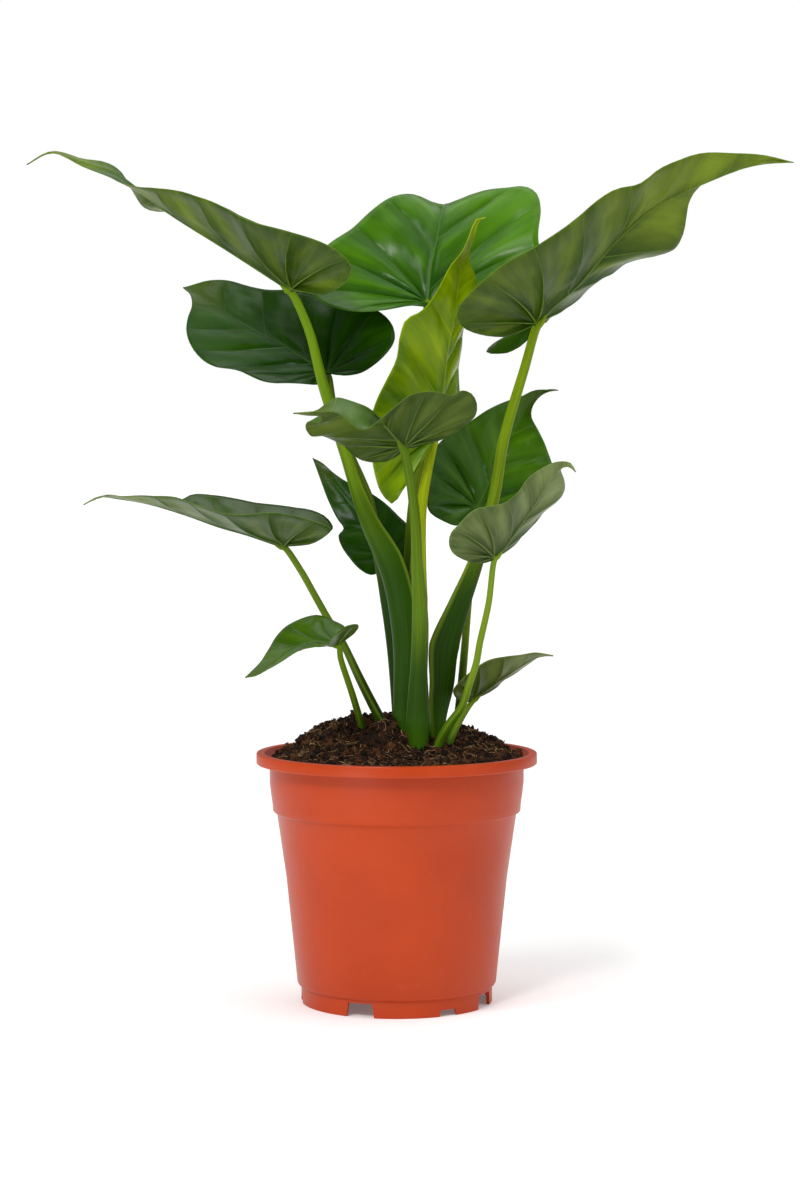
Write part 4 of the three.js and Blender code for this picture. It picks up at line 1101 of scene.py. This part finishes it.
def crumb_shape(fineness):
    shape = bmesh.new()
    bmesh.ops.create_icosphere(shape, subdivisions=fineness, radius=1)
    points = np.array([v.co for v in shape.verts])
    faces = [[v.index for v in face.verts] for face in shape.faces]
    shape.free()
    return points, faces


def stalk_feet():
    """Where the stalks pass through the soil's top, with their radius."""
    feet = []
    for stalk in STALKS.values():
        points = Rail(stalk["path"]).at(np.linspace(0, 0.3, 60))
        gap = points[:, 2] - soil_height(points[:, 0], points[:, 1])
        foot = points[np.argmin(np.abs(gap))]
        feet.append((foot[0], foot[1], stalk["sections"][0][1]))
    return feet


def near_a_stalk(x, y, size, feet):
    return any(math.hypot(x - fx, y - fy) < foot + size * 0.5 for fx, fy, foot in feet)


def make_crumbs(name, count, smallest, largest, fineness, material):
    """Loose crumbs of peat, most of them near the smallest size."""
    shape, shape_faces = crumb_shape(fineness)
    feet = stalk_feet()
    points, faces, tints = [], [], []
    while len(points) < count:
        radius = CRUMB_CIRCLE * math.sqrt(RANDOM.random())
        angle = RANDOM.uniform(0, 2 * math.pi)
        x, y = radius * math.cos(angle), radius * math.sin(angle)
        size = smallest + (largest - smallest) * RANDOM.random() ** 3
        if radius + size > CRUMB_CIRCLE or near_a_stalk(x, y, size, feet):
            continue
        stretch = RANDOM.uniform(*CRUMB_STRETCH, 3)
        knobs = 1 + KNOB_HEIGHT * RANDOM.normal(size=(len(shape), 1)).clip(*KNOB_LIMITS)
        spin = np.linalg.qr(RANDOM.normal(size=(3, 3)))[0]
        z = float(rough_soil(np.array(x), np.array(y))) + size * CRUMB_LIFT
        faces += [[v + len(points) * len(shape) for v in face] for face in shape_faces]
        points.append((shape * knobs * stretch * size) @ spin + (x, y, z))
        tints.append(RANDOM.normal(0, TINT_SPREAD))
    crumbs = new_object(name, np.concatenate(points), faces, material, smooth=False)
    add_facts(crumbs, tint=np.repeat(tints, len(shape)))
    dress(crumbs, "soil")


def make_fibres(material):
    """Pale straw-like fibres lying on the soil, thin four-sided strips."""
    points, faces = [], []
    share = np.linspace(-0.5, 0.5, FIBRE_STEPS)
    for _ in range(FIBRE_COUNT):
        radius = FIBRE_CIRCLE * math.sqrt(RANDOM.random())
        angle, heading = RANDOM.uniform(0, 2 * math.pi, 2)
        centre = np.array([radius * math.cos(angle), radius * math.sin(angle)])
        length = FIBRE_LENGTH + FIBRE_LENGTH_SPREAD * RANDOM.random() ** 2
        direction = heading + RANDOM.uniform(-FIBRE_BEND, FIBRE_BEND) * share
        width = RANDOM.uniform(*FIBRE_WIDTHS)
        steps = np.stack([np.cos(direction), np.sin(direction)], -1)
        path = centre + np.cumsum(steps, 0) * (length / FIBRE_STEPS)
        if np.hypot(*path.T).max() > FIBRE_LIMIT:
            continue
        z = evened(rough_soil(*path.T) + RANDOM.uniform(*FIBRE_LIFT))
        side = np.stack([-np.sin(direction), np.cos(direction)], -1) * width
        thick = width * FIBRE_THICKNESS
        ring = [np.column_stack([path + side, z]), np.column_stack([path, z + thick]),
                np.column_stack([path - side, z]), np.column_stack([path, z - thick])]
        index = np.arange(4 * FIBRE_STEPS).reshape(-1, 4) + len(points) * 4 * FIBRE_STEPS
        faces += ring_faces(index) + [index[0, ::-1], index[-1]]
        points.append(np.stack(ring, 1).reshape(-1, 3))
    fibres = new_object("soil_fibres", np.concatenate(points), faces, material)
    dress(fibres, "soil")


# Floor, light and camera

FLOOR_REACH = 60000


def make_floor():
    corners = [(-1, -1, 0), (1, -1, 0), (1, 1, 0), (-1, 1, 0)]
    points = np.array(corners) * FLOOR_REACH
    floor = new_object("floor", points, [[0, 1, 2, 3]], floor_material(), smooth=False)


def add_light(name, kind, place, target, power, **settings):
    light = bpy.data.lights.new(name, kind)
    light.energy = power
    for key, value in settings.items():
        setattr(light, key, value)
    lamp = add_object(name, light)
    lamp.location = place
    lamp.rotation_euler = (Vector(target) - Vector(place)).to_track_quat("-Z", "Y").to_euler()


def sun_light(name, place, strength, spread):
    add_light(name, "SUN", place, (0, 0, 0), strength, angle=math.radians(spread))


def area_light(name, place, target, size, power):
    wide, high = size
    add_light(name, "AREA", place, target, power, shape="RECTANGLE", size=wide, size_y=high)


# The sky is plain white to the camera and greyer to the plant, as in a studio whose
# backdrop has lights of its own.

SKY_ON_PLANT = 0.34
SKY_SEEN = 1.0


def make_sky():
    paint = Paint("studio", "worlds", "Background")
    seen = paint.add("ShaderNodeLightPath").outputs["Is Camera Ray"]
    paint.set(Color=(1, 1, 1, 1), Strength=paint.remap(seen, 0.0, 1.0, SKY_ON_PLANT, SKY_SEEN))
    bpy.context.scene.world = paint.painted


def make_light():
    make_sky()
    sun_light("key", (-1.0, -0.9, 1.5), strength=0.9, spread=24)
    sun_light("fill", (1.3, -0.7, 1.0), strength=0.45, spread=50)
    sun_light("top", (0.2, 0.3, 1.5), strength=1.5, spread=70)
    area_light("low", (-0.9, -1.4, 0.12), target=(0, 0, 0.35), size=(0.7, 0.4), power=4)
    area_light("glint", (-0.5, -1.3, 1.3), target=(0, 0, 0.4), size=(0.3, 0.3), power=10)


CAMERA_PLACE = (0.002, -1.6, 0.321)
CAMERA_PITCH = math.atan(128 / 2649)
CAMERA_LENS = 79.47
SENSOR_HEIGHT = 36


def make_camera():
    data = bpy.data.cameras.new("camera")
    data.sensor_fit = "VERTICAL"
    data.sensor_height = SENSOR_HEIGHT
    data.lens = CAMERA_LENS
    camera = add_object("camera", data)
    camera.location = CAMERA_PLACE
    camera.rotation_euler = (math.pi / 2 - CAMERA_PITCH, 0, 0)
    bpy.context.scene.camera = camera


make_pot()
make_soil_bed(soil_material("peat", PEAT))
peat_crumbs = soil_material("peat_crumbs", CRUMBS)
make_crumbs("soil_crumbs", 8400, smallest=0.2, largest=1.1, fineness=1, material=peat_crumbs)
make_crumbs("soil_clumps", 1400, smallest=0.6, largest=2.2, fineness=2, material=peat_crumbs)
make_fibres(soil_material("straw", STRAW))
for name, blade in BLADES.items():
    material = leaf_material("leaf_" + name, blade["veins"], blade["look"])
    piece = blade_piece("leaf_" + name, blade, material)
    dress(piece, "young_leaf" if name == "young" else "leaf", "blade_" + name)
for name, stalk in STALKS.items():
    piece = stalk_piece("petiole_" + name, stalk, BLADES[name], stalk_material(name))
    dress(piece, "petiole", "main_shoot" if name in MAIN_SHOOT else "stalk_" + name)
make_floor()
make_light()
make_camera()
bpy.context.scene.view_settings.view_transform = "Standard"
